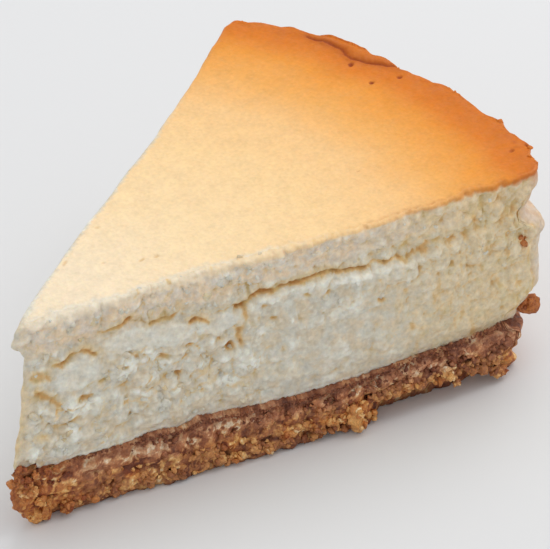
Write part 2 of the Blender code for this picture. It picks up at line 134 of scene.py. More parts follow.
def amount_at(profile: Profile, value: float) -> float:
    """Read a profile at one place."""
    return float(along_profile(profile, np.array(value)))


def distance_to_path(path: Profile, first: np.ndarray, second: np.ndarray) -> np.ndarray:
    """Measure the shortest distance from places to a path.

    Args:
        path: The path's points.
        first: The places' first coordinate.
        second: The places' second coordinate.

    Returns:
        The distance of each place.
    """
    best = np.full(np.shape(first), np.inf)
    for (a_first, a_second), (b_first, b_second) in zip(path, path[1:]):
        run, rise = b_first - a_first, b_second - a_second
        share = ((first - a_first) * run + (second - a_second) * rise) / (run * run + rise * rise)
        share = np.clip(share, 0.0, 1.0)
        gap = np.hypot(first - a_first - share * run, second - a_second - share * rise)
        best = np.minimum(best, gap)
    return best


def hashed(i: np.ndarray, j: np.ndarray, k: np.ndarray, seed: int) -> np.ndarray:
    """Scramble whole-number places into repeatable whole numbers.

    Args:
        i: First coordinate.
        j: Second coordinate.
        k: Third coordinate.
        seed: Which scramble to use.

    Returns:
        A whole number from 0 to 4294967295 for each place.
    """
    mask = np.int64(0xFFFFFFFF)
    mixed = (i * 374761393 + j * 668265263 + k * 1440662683 + seed * 974634777) & mask
    mixed = ((mixed ^ (mixed >> 13)) * 1274126177) & mask
    mixed = ((mixed ^ (mixed >> 15)) * 668265263) & mask
    return mixed ^ (mixed >> 16)


def hashed_share(i: np.ndarray, j: np.ndarray, seed: int) -> np.ndarray:
    """Scramble whole-number places into repeatable shares from 0 to 1."""
    return hashed(i, j, np.zeros_like(i), seed) / 4294967295.0


@dataclass(frozen=True)
class SmoothNoise:
    """Repeatable smooth noise over places in millimetres, from about -1 to 1."""

    seed: int
    size: float
    octaves: int = 3
    roughness: float = 0.55

    def at(self, x: np.ndarray, y: np.ndarray, z: np.ndarray | float = 0.0) -> np.ndarray:
        """Read the noise.

        Args:
            x: First coordinate.
            y: Second coordinate.
            z: Third coordinate.

        Returns:
            The noise at each place.
        """
        x, y, z = np.broadcast_arrays(np.asarray(x, float), y, z)
        total = np.zeros(x.shape)
        size, amount, whole = self.size, 1.0, 0.0
        for octave in range(self.octaves):
            total += amount * self._layer(x / size, y / size, z / size, self.seed + 101 * octave)
            whole += amount
            size, amount = size / 2.07, amount * self.roughness
        return 1.7 * total / whole

    def _layer(self, x: np.ndarray, y: np.ndarray, z: np.ndarray, seed: int) -> np.ndarray:
        """Read one layer of the noise.

        Args:
            x: First coordinate in cells.
            y: Second coordinate in cells.
            z: Third coordinate in cells.
            seed: The layer's seed.

        Returns:
            The layer's value at each place.
        """
        cells = [np.floor(value).astype(np.int64) for value in (x, y, z)]
        parts = [value - cell for value, cell in zip((x, y, z), cells)]
        fades = [part**3 * (part * (part * 6.0 - 15.0) + 10.0) for part in parts]
        total = np.zeros(x.shape)
        for corner in range(8):
            steps = (corner & 1, corner >> 1 & 1, corner >> 2)
            mixed = hashed(*(cell + step for cell, step in zip(cells, steps)), seed)
            turn = (mixed & 0xFFFF) / 65535.0 * math.tau
            up = (mixed >> 16) / 65535.0 * 2.0 - 1.0
            flat = np.sqrt(np.maximum(0.0, 1.0 - up * up))
            dx, dy, dz = (part - step for part, step in zip(parts, steps))
            value = dx * flat * np.cos(turn) + dy * flat * np.sin(turn) + dz * up
            for fade, step in zip(fades, steps):
                value = value * (fade if step else 1.0 - fade)
            total += value
        return total


def cells_around(u: np.ndarray, v: np.ndarray) -> list[tuple[np.ndarray, np.ndarray]]:
    """Give the cell that each place lies in, and the eight cells around it."""
    i, j = np.floor(u).astype(np.int64), np.floor(v).astype(np.int64)
    return [(i + step_i, j + step_j) for step_i in (-1, 0, 1) for step_j in (-1, 0, 1)]


@dataclass(frozen=True)
class GrainField:
    """A wall of packed round grains, each in its own cell."""

    seed: int
    size: float
    smallest: float = 0.55
    largest: float = 0.95
    stagger: float = 0.35

    def at(self, s: np.ndarray, z: np.ndarray) -> tuple[np.ndarray, np.ndarray]:
        """Read the grains.

        Args:
            s: Distance along the wall.
            z: Height.

        Returns:
            How far the grains stand out, in cells, and a share from 0 to 1 for the nearest grain.
        """
        u, v = np.asarray(s, float) / self.size, np.asarray(z, float) / self.size
        height = np.full(u.shape, -1.0)
        tone = np.zeros(u.shape)
        for a, b in cells_around(u, v):
            draw = [hashed_share(a, b, self.seed + index) for index in range(5)]
            radius = self.smallest + (self.largest - self.smallest) * draw[2]
            centre_u, centre_v = a + 0.15 + 0.7 * draw[0], b + 0.15 + 0.7 * draw[1]
            room = radius * radius - (u - centre_u) ** 2 - (v - centre_v) ** 2
            dome = np.sqrt(np.maximum(0.0, room)) - 0.45 + self.stagger * (draw[3] - 0.5)
            dome = np.where(room > 0.0, dome, -0.6)
            nearer = dome > height
            height = np.where(nearer, dome, height)
            tone = np.where(nearer, draw[4], tone)
        return height, tone


@dataclass(frozen=True)
class FlakeField:
    """A wall of torn curds: overlapping flakes, each set and tilted its own way."""

    seed: int
    size: float
    tilt: float = 0.55
    stagger: float = 0.5

    def at(self, s: np.ndarray, z: np.ndarray) -> tuple[np.ndarray, np.ndarray, np.ndarray]:
        """Read the flakes.

        Args:
            s: Distance along the wall.
            z: Height.

        Returns:
            How far the flakes stand out, in cells, a share from 0 to 1 for the one on top, and
            how near the seam between two flakes is, from 0 to 1.
        """
        u, v = np.asarray(s, float) / self.size, np.asarray(z, float) / self.size
        height, second = np.full(u.shape, -9.0), np.full(u.shape, -9.0)
        tone = np.zeros(u.shape)
        for a, b in cells_around(u, v):
            draw = [hashed_share(a, b, self.seed + 7 * index) for index in range(7)]
            stretch = 0.75 + 0.6 * draw[2]
            du = (u - a - 0.1 - 0.8 * draw[0]) * stretch
            dv = (v - b - 0.1 - 0.8 * draw[1]) / stretch
            flat = self.tilt * ((2.0 * draw[3] - 1.0) * du + (2.0 * draw[4] - 1.0) * dv)
            away = np.maximum(0.0, du * du + dv * dv - 0.10 - 0.15 * draw[5])
            plate = self.stagger * (draw[6] - 0.5) + flat - 1.3 * away
            nearer = plate > height
            second = np.where(nearer, height, np.maximum(second, plate))
            height = np.where(nearer, plate, height)
            tone = np.where(nearer, draw[5], tone)
        return height, tone, 1.0 - ease(0.0, 0.2, height - second)


@dataclass(frozen=True)
class Crack:
    """A crack in a cut: its path, how deep and wide it is, and how strongly painted warm shade darkens it."""

    path: Profile
    depth: float
    width: float
    stain: float


@dataclass(frozen=True)
class Spot:
    """A hollow or a raised curd in a cut, or a mark on the top, as an upright or turned ellipse."""

    s: float
    z: float
    half_s: float
    half_z: float
    depth: float
    stain: float
    turn_deg: float = 0.0

    def share(self, s: np.ndarray, z: np.ndarray) -> np.ndarray:
        """Tell how far places lie within the spot, from 0 outside to 1 in its middle."""
        turn = math.radians(self.turn_deg)
        ds, dz = s - self.s, z - self.z
        along = (ds * math.cos(turn) + dz * math.sin(turn)) / self.half_s
        across = (dz * math.cos(turn) - ds * math.sin(turn)) / self.half_z
        return np.exp(-((along**2 + across**2) ** 1.3))


def as_spots(*rows: tuple[float, ...]) -> tuple[Spot, ...]:
    """Turn rows of values, in the order of a spot's fields, into spots."""
    return tuple(Spot(*row) for row in rows)


def drawn_spot(draw: random.Random, place: float, ranges: Profile) -> Spot:
    """Draw a spot at a place along a wall, with each of its other values from its own range."""
    return Spot(place, *(draw.uniform(low, high) for low, high in ranges))


def sink(pits: Iterable[Spot], s: np.ndarray, z: np.ndarray, relief: np.ndarray, stain: np.ndarray,
         depth: float = 1.0, strength: float = 1.0) -> np.ndarray:
    """Sink pits into a wall, and mark them; where they sink in, the mark is painted shade.

    Args:
        pits: The pits.
        s: Distance along the wall.
        z: Height.
        relief: The wall's relief, which is changed in place.
        stain: The mark that they add to, which is changed in place.
        depth: A factor on the pits' depths, below 0 for spots that stand out.
        strength: A factor on their marks.

    Returns:
        What the pits leave of the wall, from 0 in their middles to 1 clear of them.
    """
    clear = np.ones(relief.shape)
    for pit in pits:
        share = pit.share(s, z)
        relief -= depth * pit.depth * share
        np.maximum(stain, strength * pit.stain * share, out=stain)
        clear *= 1.0 - share
    return clear


class Wall(Enum):
    """The walls of the slice."""

    NEAR = "near cut"
    FAR = "far cut"
    RIM = "outer wall"


def set_in(plan: np.ndarray, radius: float, inset: np.ndarray) -> np.ndarray:
    """Move columns of points in towards the tip near the outer wall, without folding them.

    Args:
        plan: The columns' places from above.
        radius: The slice's radius.
        inset: How far the outer wall moves in, by column and row.

    Returns:
        How far each point moves, by column, row and axis.
    """
    distance = np.hypot(plan[:, 0], plan[:, 1])[:, None]
    width = np.maximum(4.0, 1.8 * np.abs(inset))
    share = ease(0.0, 1.0, (distance - radius + 0.6 + width) / width)
    unit = plan / np.maximum(distance, 0.001)
    return -unit[:, None, :] * (inset * share)[:, :, None]


@dataclass
class Columns:
    """The upright columns of points that make up the walls, in order round the slice.

    plan and out hold each column's place and outward direction, along its distance from the tip
    or round the outer wall, and shares how much it belongs to each wall.
    """

    plan: np.ndarray
    out: np.ndarray
    along: dict[Wall, np.ndarray]
    shares: dict[Wall, np.ndarray]


@dataclass(frozen=True)
class WedgeOutline:
    """The slice seen from above."""

    radius: float = 115.0
    angle_deg: float = 45.5
    tip_rounding: float = 0.6
    near_rounding: float = 5.0
    far_rounding: float = 1.2

    @property
    def half(self) -> float:
        """Half the slice's angle in radians."""
        return math.radians(self.angle_deg / 2)

    def along(self, wall: Wall) -> np.ndarray:
        """Give a cut's direction away from the tip."""
        side = -1.0 if wall is Wall.NEAR else 1.0
        return np.array([math.cos(self.half), side * math.sin(self.half)])

    def out(self, wall: Wall) -> np.ndarray:
        """Give a cut's outward direction."""
        side = -1.0 if wall is Wall.NEAR else 1.0
        return np.array([-math.sin(self.half), side * math.cos(self.half)])

    def _turned(self, centre: np.ndarray, rounding: float, start: float, end: float, count: int) -> list:
        """Lay columns round a rounding.

        Args:
            centre: The rounding's centre.
            rounding: Its radius.
            start: The direction of its first column, in radians.
            end: The direction of its last column.
            count: How many columns it has.

        Returns:
            (place, outward direction) for each column.
        """
        found = []
        for index in range(count):
            turn = start + (end - start) * index / max(1, count - 1)
            out = np.array([math.cos(turn), math.sin(turn)])
            found.append((centre + out * rounding, out))
        return found

    def _straight(self, wall: Wall, start: float, end: float, step: float) -> list:
        """Lay columns along a cut.

        Args:
            wall: The cut.
            start: The first column's distance from the tip.
            end: The last column's distance.
            step: The least distance between columns.

        Returns:
            (place, outward direction) for each column.
        """
        count = int(abs(end - start) / step)
        return [(self.along(wall) * (start + (end - start) * index / count), self.out(wall))
                for index in range(count + 1)]

    def columns(self, near_step: float, rim_step: float, far_step: float) -> Columns:
        """Lay out the wall's columns, counter-clockwise from the tip's near side.

        Args:
            near_step: Distance between columns on the near cut.
            rim_step: Distance between columns on the outer wall.
            far_step: Distance between columns on the far cut.

        Returns:
            The columns.
        """
        tip_start = self.tip_rounding / math.tan(self.half)
        reaches, centres, ends, turns = {}, {}, {}, {}
        for wall, rounding in ((Wall.NEAR, self.near_rounding), (Wall.FAR, self.far_rounding)):
            reaches[wall] = math.sqrt((self.radius - rounding) ** 2 - rounding**2)
            centres[wall] = self.along(wall) * reaches[wall] - self.out(wall) * rounding
            ends[wall] = math.atan2(*centres[wall][::-1])
            turns[wall] = math.atan2(*self.out(wall)[::-1])
        near_end, far_end = ends[Wall.NEAR], ends[Wall.FAR]
        found = self._straight(Wall.NEAR, tip_start, reaches[Wall.NEAR], near_step)[:-1]
        count = max(4, int(self.near_rounding * (near_end - turns[Wall.NEAR]) / near_step))
        found += self._turned(centres[Wall.NEAR], self.near_rounding, turns[Wall.NEAR], near_end, count)
        count = int(self.radius * (far_end - near_end) / rim_step)
        found += self._turned(np.zeros(2), self.radius, near_end, far_end, count)[1:-1]
        found += self._turned(centres[Wall.FAR], self.far_rounding, far_end, turns[Wall.FAR], 6)
        found += self._straight(Wall.FAR, reaches[Wall.FAR], tip_start, far_step)[1:]
        tip_centre = np.array([self.tip_rounding / math.sin(self.half), 0.0])
        near_turn = turns[Wall.NEAR] + math.tau
        found += self._turned(tip_centre, self.tip_rounding, turns[Wall.FAR], near_turn, 8)[1:-1]
        plan = np.array([place for place, _ in found])
        out = np.array([direction for _, direction in found])
        along = {wall: plan @ self.along(wall) for wall in (Wall.NEAR, Wall.FAR)}
        along[Wall.RIM] = np.arctan2(plan[:, 1], plan[:, 0]) * self.radius
        away = {wall: -(plan @ self.out(wall)) for wall in (Wall.NEAR, Wall.FAR)}
        shares = {wall: 1.0 - ease(0.2, 4.0, away[wall]) for wall in away}
        shares[Wall.RIM] = ease(-4.0, -0.6, np.hypot(plan[:, 0], plan[:, 1]) - self.radius)
        from_tip = ease(0.0, 4.5, plan[:, 0])
        for wall in away:
            shares[wall] = shares[wall] * from_tip
        return Columns(plan, out, along, shares)


def blurred(grid: np.ndarray, reach: int) -> np.ndarray:
    """Blur a wall's grid of columns by rows.

    Args:
        grid: Values by column and row.
        reach: How many steps the blur reaches.

    Returns:
        The blurred values.
    """
    around = np.concatenate([grid[-reach:], grid, grid[:reach]], axis=0)
    sums = np.cumsum(np.concatenate([np.zeros((1, grid.shape[1])), around], axis=0), axis=0)
    span = 2 * reach + 1
    result = (sums[span:] - sums[:-span]) / span
    padded = np.concatenate([result[:, :1]] * reach + [result] + [result[:, -1:]] * reach, axis=1)
    sums = np.cumsum(np.concatenate([np.zeros((grid.shape[0], 1)), padded], axis=1), axis=1)
    return (sums[:, span:] - sums[:, :-span]) / span


def make_piece(
    name: str, points: np.ndarray, faces: list, marks: dict[str, np.ndarray], material: bpy.types.Material
) -> bpy.types.Object:
    """Make a mesh object in the part's frame from places in millimetres.

    Args:
        name: The piece's name.
        points: The points' places.
        faces: The faces, as point numbers.
        marks: Values from 0 to 1 for each point, by the name that a material reads.
        material: The piece's material.

    Returns:
        The new object.
    """
    mesh = bpy.data.meshes.new(name)
    placed = (np.asarray(points, float) - np.array(FOOTPRINT_CENTRE)) * MM
    corners = np.array([len(face) for face in faces], dtype=np.int32)
    mesh.vertices.add(len(placed))
    mesh.vertices.foreach_set("co", placed.ravel())
    mesh.loops.add(int(corners.sum()))
    mesh.loops.foreach_set("vertex_index", np.concatenate(faces).astype(np.int32))
    mesh.polygons.add(len(faces))
    starts = np.cumsum(corners) - corners
    mesh.polygons.foreach_set("loop_start", starts.astype(np.int32))
    mesh.update(calc_edges=True)
    mesh.validate()
    for mark, values in marks.items():
        layer = mesh.attributes.new(mark, "FLOAT", "POINT")
        layer.data.foreach_set("value", np.asarray(values, np.float32).ravel())
    mesh.polygons.foreach_set("use_smooth", np.ones(len(mesh.polygons), dtype=bool))
    mesh.materials.append(material)
    piece = bpy.data.objects.new(name, mesh)
    bpy.context.scene.collection.objects.link(piece)
    return piece


def wall_faces(columns: int, rows: int) -> np.ndarray:
    """Number the faces of a closed ring of columns.

    Args:
        columns: How many columns go round.
        rows: How many points each column has.

    Returns:
        Four point numbers for each face.
    """
    u, v = np.meshgrid(np.arange(columns), np.arange(rows - 1), indexing="ij")
    ahead = (u + 1) % columns
    quads = np.stack([u * rows + v, ahead * rows + v, ahead * rows + v + 1, u * rows + v + 1], axis=-1)
    return quads.reshape(-1, 4)


def inside(ring: np.ndarray, places: np.ndarray) -> np.ndarray:
    """Tell which places lie inside a closed ring.

    Args:
        ring: The ring's points.
        places: Places to test.

    Returns:
        True for each place inside.
    """
    result = np.zeros(len(places), dtype=bool)
    ahead = np.roll(ring, -1, axis=0)
    for (ax, ay), (bx, by) in zip(ring, ahead):
        if ay == by:
            continue
        crosses = (ay > places[:, 1]) != (by > places[:, 1])
        edge = ax + (places[:, 1] - ay) * (bx - ax) / (by - ay)
        result ^= crosses & (places[:, 0] < edge)
    return result


def distance_to_ring(ring: np.ndarray, places: np.ndarray) -> np.ndarray:
    """Measure how far places are from a closed ring's points.

    Args:
        ring: The ring's points.
        places: Places to measure from.

    Returns:
        The distance of each place.
    """
    tree = kdtree.KDTree(len(ring))
    for index, point in enumerate(ring):
        tree.insert((point[0], point[1], 0.0), index)
    tree.balance()
    return np.array([tree.find((x, y, 0.0))[2] for x, y in places])


def grid_within(ring: np.ndarray, spacing: float) -> np.ndarray:
    """Lay an even grid of places within a ring, clear of the ring itself.

    Args:
        ring: The ring's points.
        spacing: The distance between places.

    Returns:
        The places.
    """
    low, high = ring.min(axis=0), ring.max(axis=0)
    xs = np.arange(low[0], high[0], spacing)
    ys = np.arange(low[1], high[1], spacing * ROW_SHARE)
    grid_x, grid_y = np.meshgrid(xs, ys)
    grid_x = grid_x + np.where(np.arange(len(ys)) % 2, spacing / 2, 0.0)[:, None]
    places = np.stack([grid_x.ravel(), grid_y.ravel()], axis=1)
    places = places[inside(ring, places)]
    return places[distance_to_ring(ring, places) > 0.5 * spacing]


def cap(ring: np.ndarray, spacing: float, closely: Callable | None = None) -> tuple[np.ndarray, list]:
    """Fill a ring with even triangles.

    Args:
        ring: The ring's points, counter-clockwise.
        spacing: The distance between inner points, or 0 for none.
        closely: Tells which places take points at less than half that distance, or none.

    Returns:
        The inner points, and the faces, which number the ring's points first.
    """
    inner = np.zeros((0, 2))
    if spacing > 0.0:
        inner = grid_within(ring, spacing)
    if closely:
        fine = grid_within(ring, FINE_SHARE * spacing)
        inner = np.concatenate([inner[~closely(inner)], fine[closely(fine)]])
    points = [Vector(point) for point in np.concatenate([ring, inner])]
    result = delaunay_2d_cdt(points, [], [list(range(len(ring)))], 1, 1e-5)
    origin = [source[0] if source else -1 for source in result[3]]
    faces = []
    for face in result[2]:
        numbers = [origin[index] for index in face]
        if min(numbers) >= 0 and len(set(numbers)) == 3:
            faces.append(numbers)
    return inner, faces


@dataclass(frozen=True)
class Border:
    """The ragged line on the near cut where the cream meets the crumbs."""

    line: Profile = (
        (0.0, 16.2), (1.6, 15.4), (3.4, 14.2), (6.0, 13.2), (9.0, 12.7), (20.0, 11.8), (27.0, 12.5),
        (32.0, 11.7), (36.5, 12.7), (41.0, 12.0), (50.0, 11.1), (60.0, 10.9), (70.0, 11.2), (80.0, 11.7),
        (85.0, 12.1), (100.0, 12.2), (105.0, 12.8),
    )
    ragged: float = 0.8

    def height(self, s: np.ndarray) -> np.ndarray:
        """Give the border's height at distances from the tip."""
        noise = SmoothNoise(81, 1.6, 4, 0.7).at(s, np.zeros(np.shape(s)))
        return along_profile(self.line, s) + self.ragged * noise


BORDER = Border()


@dataclass(frozen=True)
class CutMarks:
    """What shows on the near cut: its cracks, hollows, curds and smeared places.

    Places are distances from the tip along the cut and heights, as they show in the cut's plane.
    """

    cracks: tuple[Crack, ...] = (
        Crack(((9.0, 36.6), (10.3, 37.8), (12.4, 38.4), (14.0, 37.9), (15.4, 36.6)), 1.5, 0.55, 1.0),
        Crack(((6.7, 37.0), (8.6, 36.0)), 0.9, 0.55, 0.9),
        Crack(((5.2, 35.0), (6.3, 33.6)), 0.8, 0.5, 0.8),
        Crack(((3.2, 32.4), (4.6, 30.6), (6.4, 29.4), (8.2, 27.4)), 1.1, 0.75, 0.95),
        Crack(((17.6, 41.0), (19.4, 41.5), (21.6, 41.7), (23.2, 42.4)), 1.5, 0.6, 1.0),
        Crack(((23.6, 41.8), (25.6, 41.0), (27.2, 40.0)), 0.7, 0.4, 0.45),
        Crack(((27.4, 39.8), (30.0, 40.1), (32.4, 39.9), (34.2, 40.9)), 1.3, 0.5, 1.0),
        Crack(((36.0, 37.2), (37.6, 37.7), (38.8, 37.0), (39.8, 36.0)), 1.2, 0.5, 0.95),
        Crack(((40.2, 37.8), (41.6, 38.0), (43.6, 37.8), (44.6, 38.1)), 0.8, 0.4, 0.5),
        Crack(((46.4, 37.2), (47.8, 38.0), (49.4, 38.8), (52.0, 39.5), (54.0, 39.1), (57.0, 39.6),
               (60.0, 39.3), (63.0, 39.9), (66.0, 40.0), (69.0, 39.2), (71.0, 39.2), (74.0, 38.4)),
              1.9, 0.42, 1.0),
        Crack(((74.0, 38.4), (76.0, 39.4), (78.4, 38.3), (81.2, 38.6), (82.8, 37.2), (85.2, 38.2)), 1.1,
              0.5, 0.6),
        Crack(((86.6, 38.2), (88.4, 39.6), (91.0, 40.0)), 1.0, 0.8, 0.7),
        Crack(((91.0, 41.2), (94.0, 40.8), (96.4, 38.6)), 0.8, 0.5, 0.4),
        Crack(((101.4, 38.8), (103.0, 37.2), (103.6, 35.2), (102.4, 33.8)), 0.8, 0.7, 0.5),
        Crack(((47.6, 37.6), (47.9, 34.4), (46.6, 32.2), (45.9, 30.6), (46.6, 28.8)), 1.3, 0.75, 0.7),
    )
    # Hollows, each with the strength of the painted warm shade in it.
    hollows: tuple[Spot, ...] = as_spots(
        (2.8, 35.4, 2.6, 1.6, 0.5, 1.2), (2.0, 28.8, 0.7, 0.9, 0.6, 0.7),
        (12.9, 26.9, 1.5, 0.9, 1.3, 0.85, -20.0), (16.5, 29.7, 0.9, 0.5, 0.9, 0.8),
        (21.4, 31.1, 0.8, 0.45, 0.9, 0.85), (24.4, 34.2, 1.4, 0.4, 0.5, 0.3, 15.0),
        (18.7, 36.3, 0.7, 0.25, 0.35, 0.35, -20.0), (29.7, 31.0, 1.3, 0.75, 1.2, 0.9, -15.0),
        (35.7, 31.8, 0.9, 0.5, 0.9, 0.7), (34.2, 29.6, 1.2, 0.5, 0.9, 0.8, 30.0),
        (32.0, 28.8, 1.2, 0.35, 0.5, 0.5), (42.1, 31.3, 0.8, 0.6, 0.9, 0.8, 30.0),
        (44.2, 28.2, 1.2, 1.2, 1.6, 0.95), (46.6, 28.3, 0.9, 0.9, 0.8, 0.6),
        (6.0, 20.8, 2.4, 1.2, 0.9, 0.5, -15.0), (0.2, 24.4, 0.6, 2.0, 0.4, 0.6),
        (24.0, 22.2, 1.7, 0.8, 0.8, 0.55, -15.0), (24.2, 20.6, 1.2, 0.5, 0.4, 0.4),
        (27.2, 25.0, 1.6, 1.4, 0.5, 0.4), (29.7, 25.4, 0.9, 1.5, 0.7, 0.5, 20.0),
        (32.8, 25.3, 0.9, 0.7, 0.9, 0.65), (38.6, 28.0, 1.0, 1.2, 0.6, 0.4),
        (41.5, 22.4, 0.8, 0.8, 0.7, 0.35), (52.1, 36.4, 0.9, 0.8, 0.6, 0.45),
        (50.6, 33.7, 0.6, 1.0, 0.5, 0.5), (53.6, 32.6, 0.8, 0.6, 0.8, 0.6),
        (61.0, 36.3, 1.2, 0.5, 0.6, 0.5, -30.0), (65.2, 35.4, 1.3, 0.9, 0.9, 0.6, 40.0),
        (70.3, 32.8, 0.5, 0.6, 0.5, 0.4), (77.2, 29.4, 1.3, 0.7, 0.8, 0.95, -35.0),
        (76.4, 27.6, 3.2, 0.9, 0.5, 0.4), (82.6, 29.5, 0.8, 1.2, 0.7, 0.6),
        (83.8, 20.3, 0.9, 1.5, 0.5, 0.75, 10.0), (90.2, 23.0, 0.9, 3.2, 0.4, 0.5, 5.0),
        (86.0, 35.0, 0.4, 1.2, 0.5, 0.4), (87.2, 38.0, 1.3, 1.3, 0.8, 0.6),
        (93.1, 33.1, 0.7, 0.8, 0.9, 0.85), (91.6, 36.3, 1.5, 0.8, 0.5, 0.4, -30.0),
        (96.8, 37.8, 1.1, 1.7, 0.7, 0.6), (108.2, 22.3, 1.0, 0.8, 0.7, 0.75),
        (109.9, 39.2, 1.2, 1.0, 0.6, 0.8), (107.0, 38.4, 1.6, 0.6, 0.4, 0.5),
        (109.4, 32.4, 1.0, 1.6, 0.5, 1.0, 25.0), (112.6, 35.0, 0.7, 1.2, 0.3, 0.6),
        (55.4, 24.6, 0.9, 1.4, 0.5, 0.35), (58.0, 20.5, 0.9, 0.9, 0.4, 0.25),
        (66.2, 14.9, 1.4, 0.6, 0.4, 0.35, 20.0), (69.0, 17.0, 1.0, 0.8, 0.4, 0.35),
        (19.6, 16.6, 0.8, 0.6, 0.5, 0.4), (22.0, 18.4, 0.9, 0.5, 0.4, 0.35),
        (33.6, 42.9, 1.0, 1.5, 0.5, 0.55), (45.2, 44.4, 1.2, 0.8, 0.4, 0.35),
        (38.0, 45.8, 1.2, 0.5, 0.3, 0.35), (59.3, 43.4, 0.8, 0.5, 0.5, 0.45),
        (66.2, 44.6, 0.6, 2.2, 0.4, 0.35), (2.8, 43.2, 0.5, 1.2, 0.3, 0.45, -20.0),
        (5.6, 38.9, 0.8, 0.5, 0.4, 0.5), (76.2, 40.6, 0.6, 0.9, 0.5, 0.45),
        (86.0, 45.2, 0.6, 0.9, 0.3, 0.35), (104.4, 29.6, 1.8, 0.6, 0.4, 0.4),
    )
    curds: tuple[Spot, ...] = as_spots(
        (11.3, 20.2, 0.8, 2.8, 0.5, 0.8, 8.0), (20.2, 21.8, 0.5, 1.7, 0.4, 0.7, -8.0),
        (5.6, 27.0, 1.2, 0.8, 0.4, 0.6), (0.8, 20.6, 0.8, 1.0, 0.3, 0.6), (31.2, 22.0, 1.7, 1.3, 0.5, 0.8),
        (28.9, 28.7, 1.6, 0.5, 0.4, 0.7, -30.0), (37.4, 26.2, 1.8, 0.8, 0.4, 0.5),
        (42.6, 26.0, 1.3, 0.9, 0.5, 0.6), (40.0, 31.5, 0.9, 0.7, 0.4, 0.5),
        (69.6, 37.2, 3.4, 0.6, 0.3, 0.8, -10.0), (72.4, 32.2, 1.2, 1.7, 0.4, 0.6),
        (68.6, 31.0, 1.8, 0.9, 0.4, 0.6), (57.2, 35.4, 1.1, 0.9, 0.3, 0.5),
        (57.4, 31.2, 0.4, 0.9, 0.3, 0.6), (90.8, 33.4, 1.0, 1.2, 0.4, 0.6),
        (78.2, 43.3, 1.2, 0.8, 0.3, 0.6, -25.0), (88.0, 42.8, 0.8, 0.9, 0.3, 0.6),
        (98.9, 34.4, 0.7, 2.8, 0.5, 0.6, -15.0), (84.0, 36.0, 1.6, 0.9, 0.3, 0.3),
        (1.6, 45.2, 1.6, 0.5, 0.4, 0.7), (7.8, 43.6, 0.7, 0.6, 0.4, 0.6), (34.9, 28.3, 0.5, 0.4, 0.3, 0.8),
        (101.0, 21.8, 1.6, 0.9, 0.3, 0.4), (93.0, 28.6, 3.0, 0.9, 0.4, 0.45, 20.0),
        (88.0, 29.0, 2.6, 0.9, 0.4, 0.45, -10.0), (40.4, 43.0, 1.0, 0.8, 0.3, 0.3),
    )
    smears: tuple[Spot, ...] = as_spots(
        (11.6, 33.4, 4.6, 3.6, 0.25, 1.0), (22.6, 37.6, 5.6, 2.6, 0.3, 1.0),
        (31.0, 36.0, 5.2, 2.7, 0.3, 1.0, -8.0), (42.6, 35.0, 3.6, 2.4, 0.2, 1.0),
        (80.0, 36.4, 4.6, 1.5, 0.2, 0.6), (26.0, 15.6, 4.0, 1.4, 0.1, 0.5),
    )


@dataclass(frozen=True)
class Ledge:
    """The lip of cream that stands out under the long crack of the near cut."""

    start: float = 44.0
    line: Profile = ((44.0, 35.4), (49.0, 38.1), (53.0, 38.8), (66.0, 39.3), (74.0, 37.8), (85.0, 37.4),
                     (100.0, 38.6), (115.0, 38.6))
    proud: float = 0.8
    recess: float = 0.45


@dataclass
class Surface:
    """What one wall gives at a grid of places: relief in millimetres, and marks from 0 to 1, where stain is
    real marks and painted shade, and pale is pale curds and painted highlights.
    """

    relief: np.ndarray
    stain: np.ndarray | float
    pale: np.ndarray | float
    skin: np.ndarray | float = 0.0
    band: np.ndarray | float = 0.0


Readers = dict[Wall, Callable[[np.ndarray, np.ndarray], Surface]]


def gathered(columns: Columns, readers: Readers, z: np.ndarray) -> dict[str, np.ndarray]:
    """Join what the walls give, each by its share of a column.

    Args:
        columns: The columns.
        readers: What gives each wall's surface, from distances along it and heights.
        z: Heights by column and row.

    Returns:
        By name, the relief and the tone summed over the walls, the whole of the walls' shares, and
        the strongest stain, pale, skin and band.
    """
    strongest = ("stain", "pale", "skin", "band")
    found = {key: np.zeros(z.shape) for key in ("relief", "tone", "whole") + strongest}
    for wall, reader in readers.items():
        used = columns.shares[wall] > 0.0
        share = columns.shares[wall][used][:, None]
        surface = reader(np.broadcast_to(columns.along[wall][used][:, None], z[used].shape), z[used])
        found["relief"][used] += share * surface.relief
        found["tone"][used] += share * surface.pale
        found["whole"][used] += share
        for key in strongest:
            found[key][used] = np.maximum(found[key][used], share * getattr(surface, key))
    return found


def stood(columns: Columns, relief: np.ndarray, z: np.ndarray, radius: float, inset: np.ndarray,
          tip_reach: float, tip_inset: np.ndarray) -> np.ndarray:
    """Place the points of a piece's walls.

    Args:
        columns: The columns.
        relief: How far each point stands out of its wall, by column and row.
        z: The points' heights.
        radius: The slice's radius.
        inset: How far the outer wall is set in.
        tip_reach: How far from the tip it is set in too.
        tip_inset: How far the tip is set in.

    Returns:
        The points, by column, row and axis.
    """
    flat = columns.plan[:, None, :] + columns.out[:, None, :] * relief[:, :, None]
    flat += set_in(columns.plan, radius, inset)
    flat[:, :, 0] -= (1.0 - ease(0.0, tip_reach, columns.plan[:, 0])[:, None]) * tip_inset
    return np.concatenate([flat, z[:, :, None]], axis=2)


def closed(points: np.ndarray, spacing: float = 0.0,
           closely: Callable | None = None) -> tuple[np.ndarray, list]:
    """Close a ring of columns with a lid and a floor.

    Args:
        points: The columns' points, by column, row and axis.
        spacing: The distance between the lid's inner points, or 0 for none.
        closely: Tells which of them lie closer, or none.

    Returns:
        The places of the lid's inner points, and all faces, which number the columns' points first.
    """
    count, rows = points.shape[:2]
    inner, lid = cap(points[:, -1, :2], spacing, closely)
    _, floor = cap(points[:, 0, :2], 0.0)
    first = np.arange(count) * rows
    numbers = np.concatenate([first + rows - 1, count * rows + np.arange(len(inner))])
    faces = list(wall_faces(count, rows)) + [numbers[face] for face in lid]
    return inner, faces + [first[face][::-1] for face in floor]


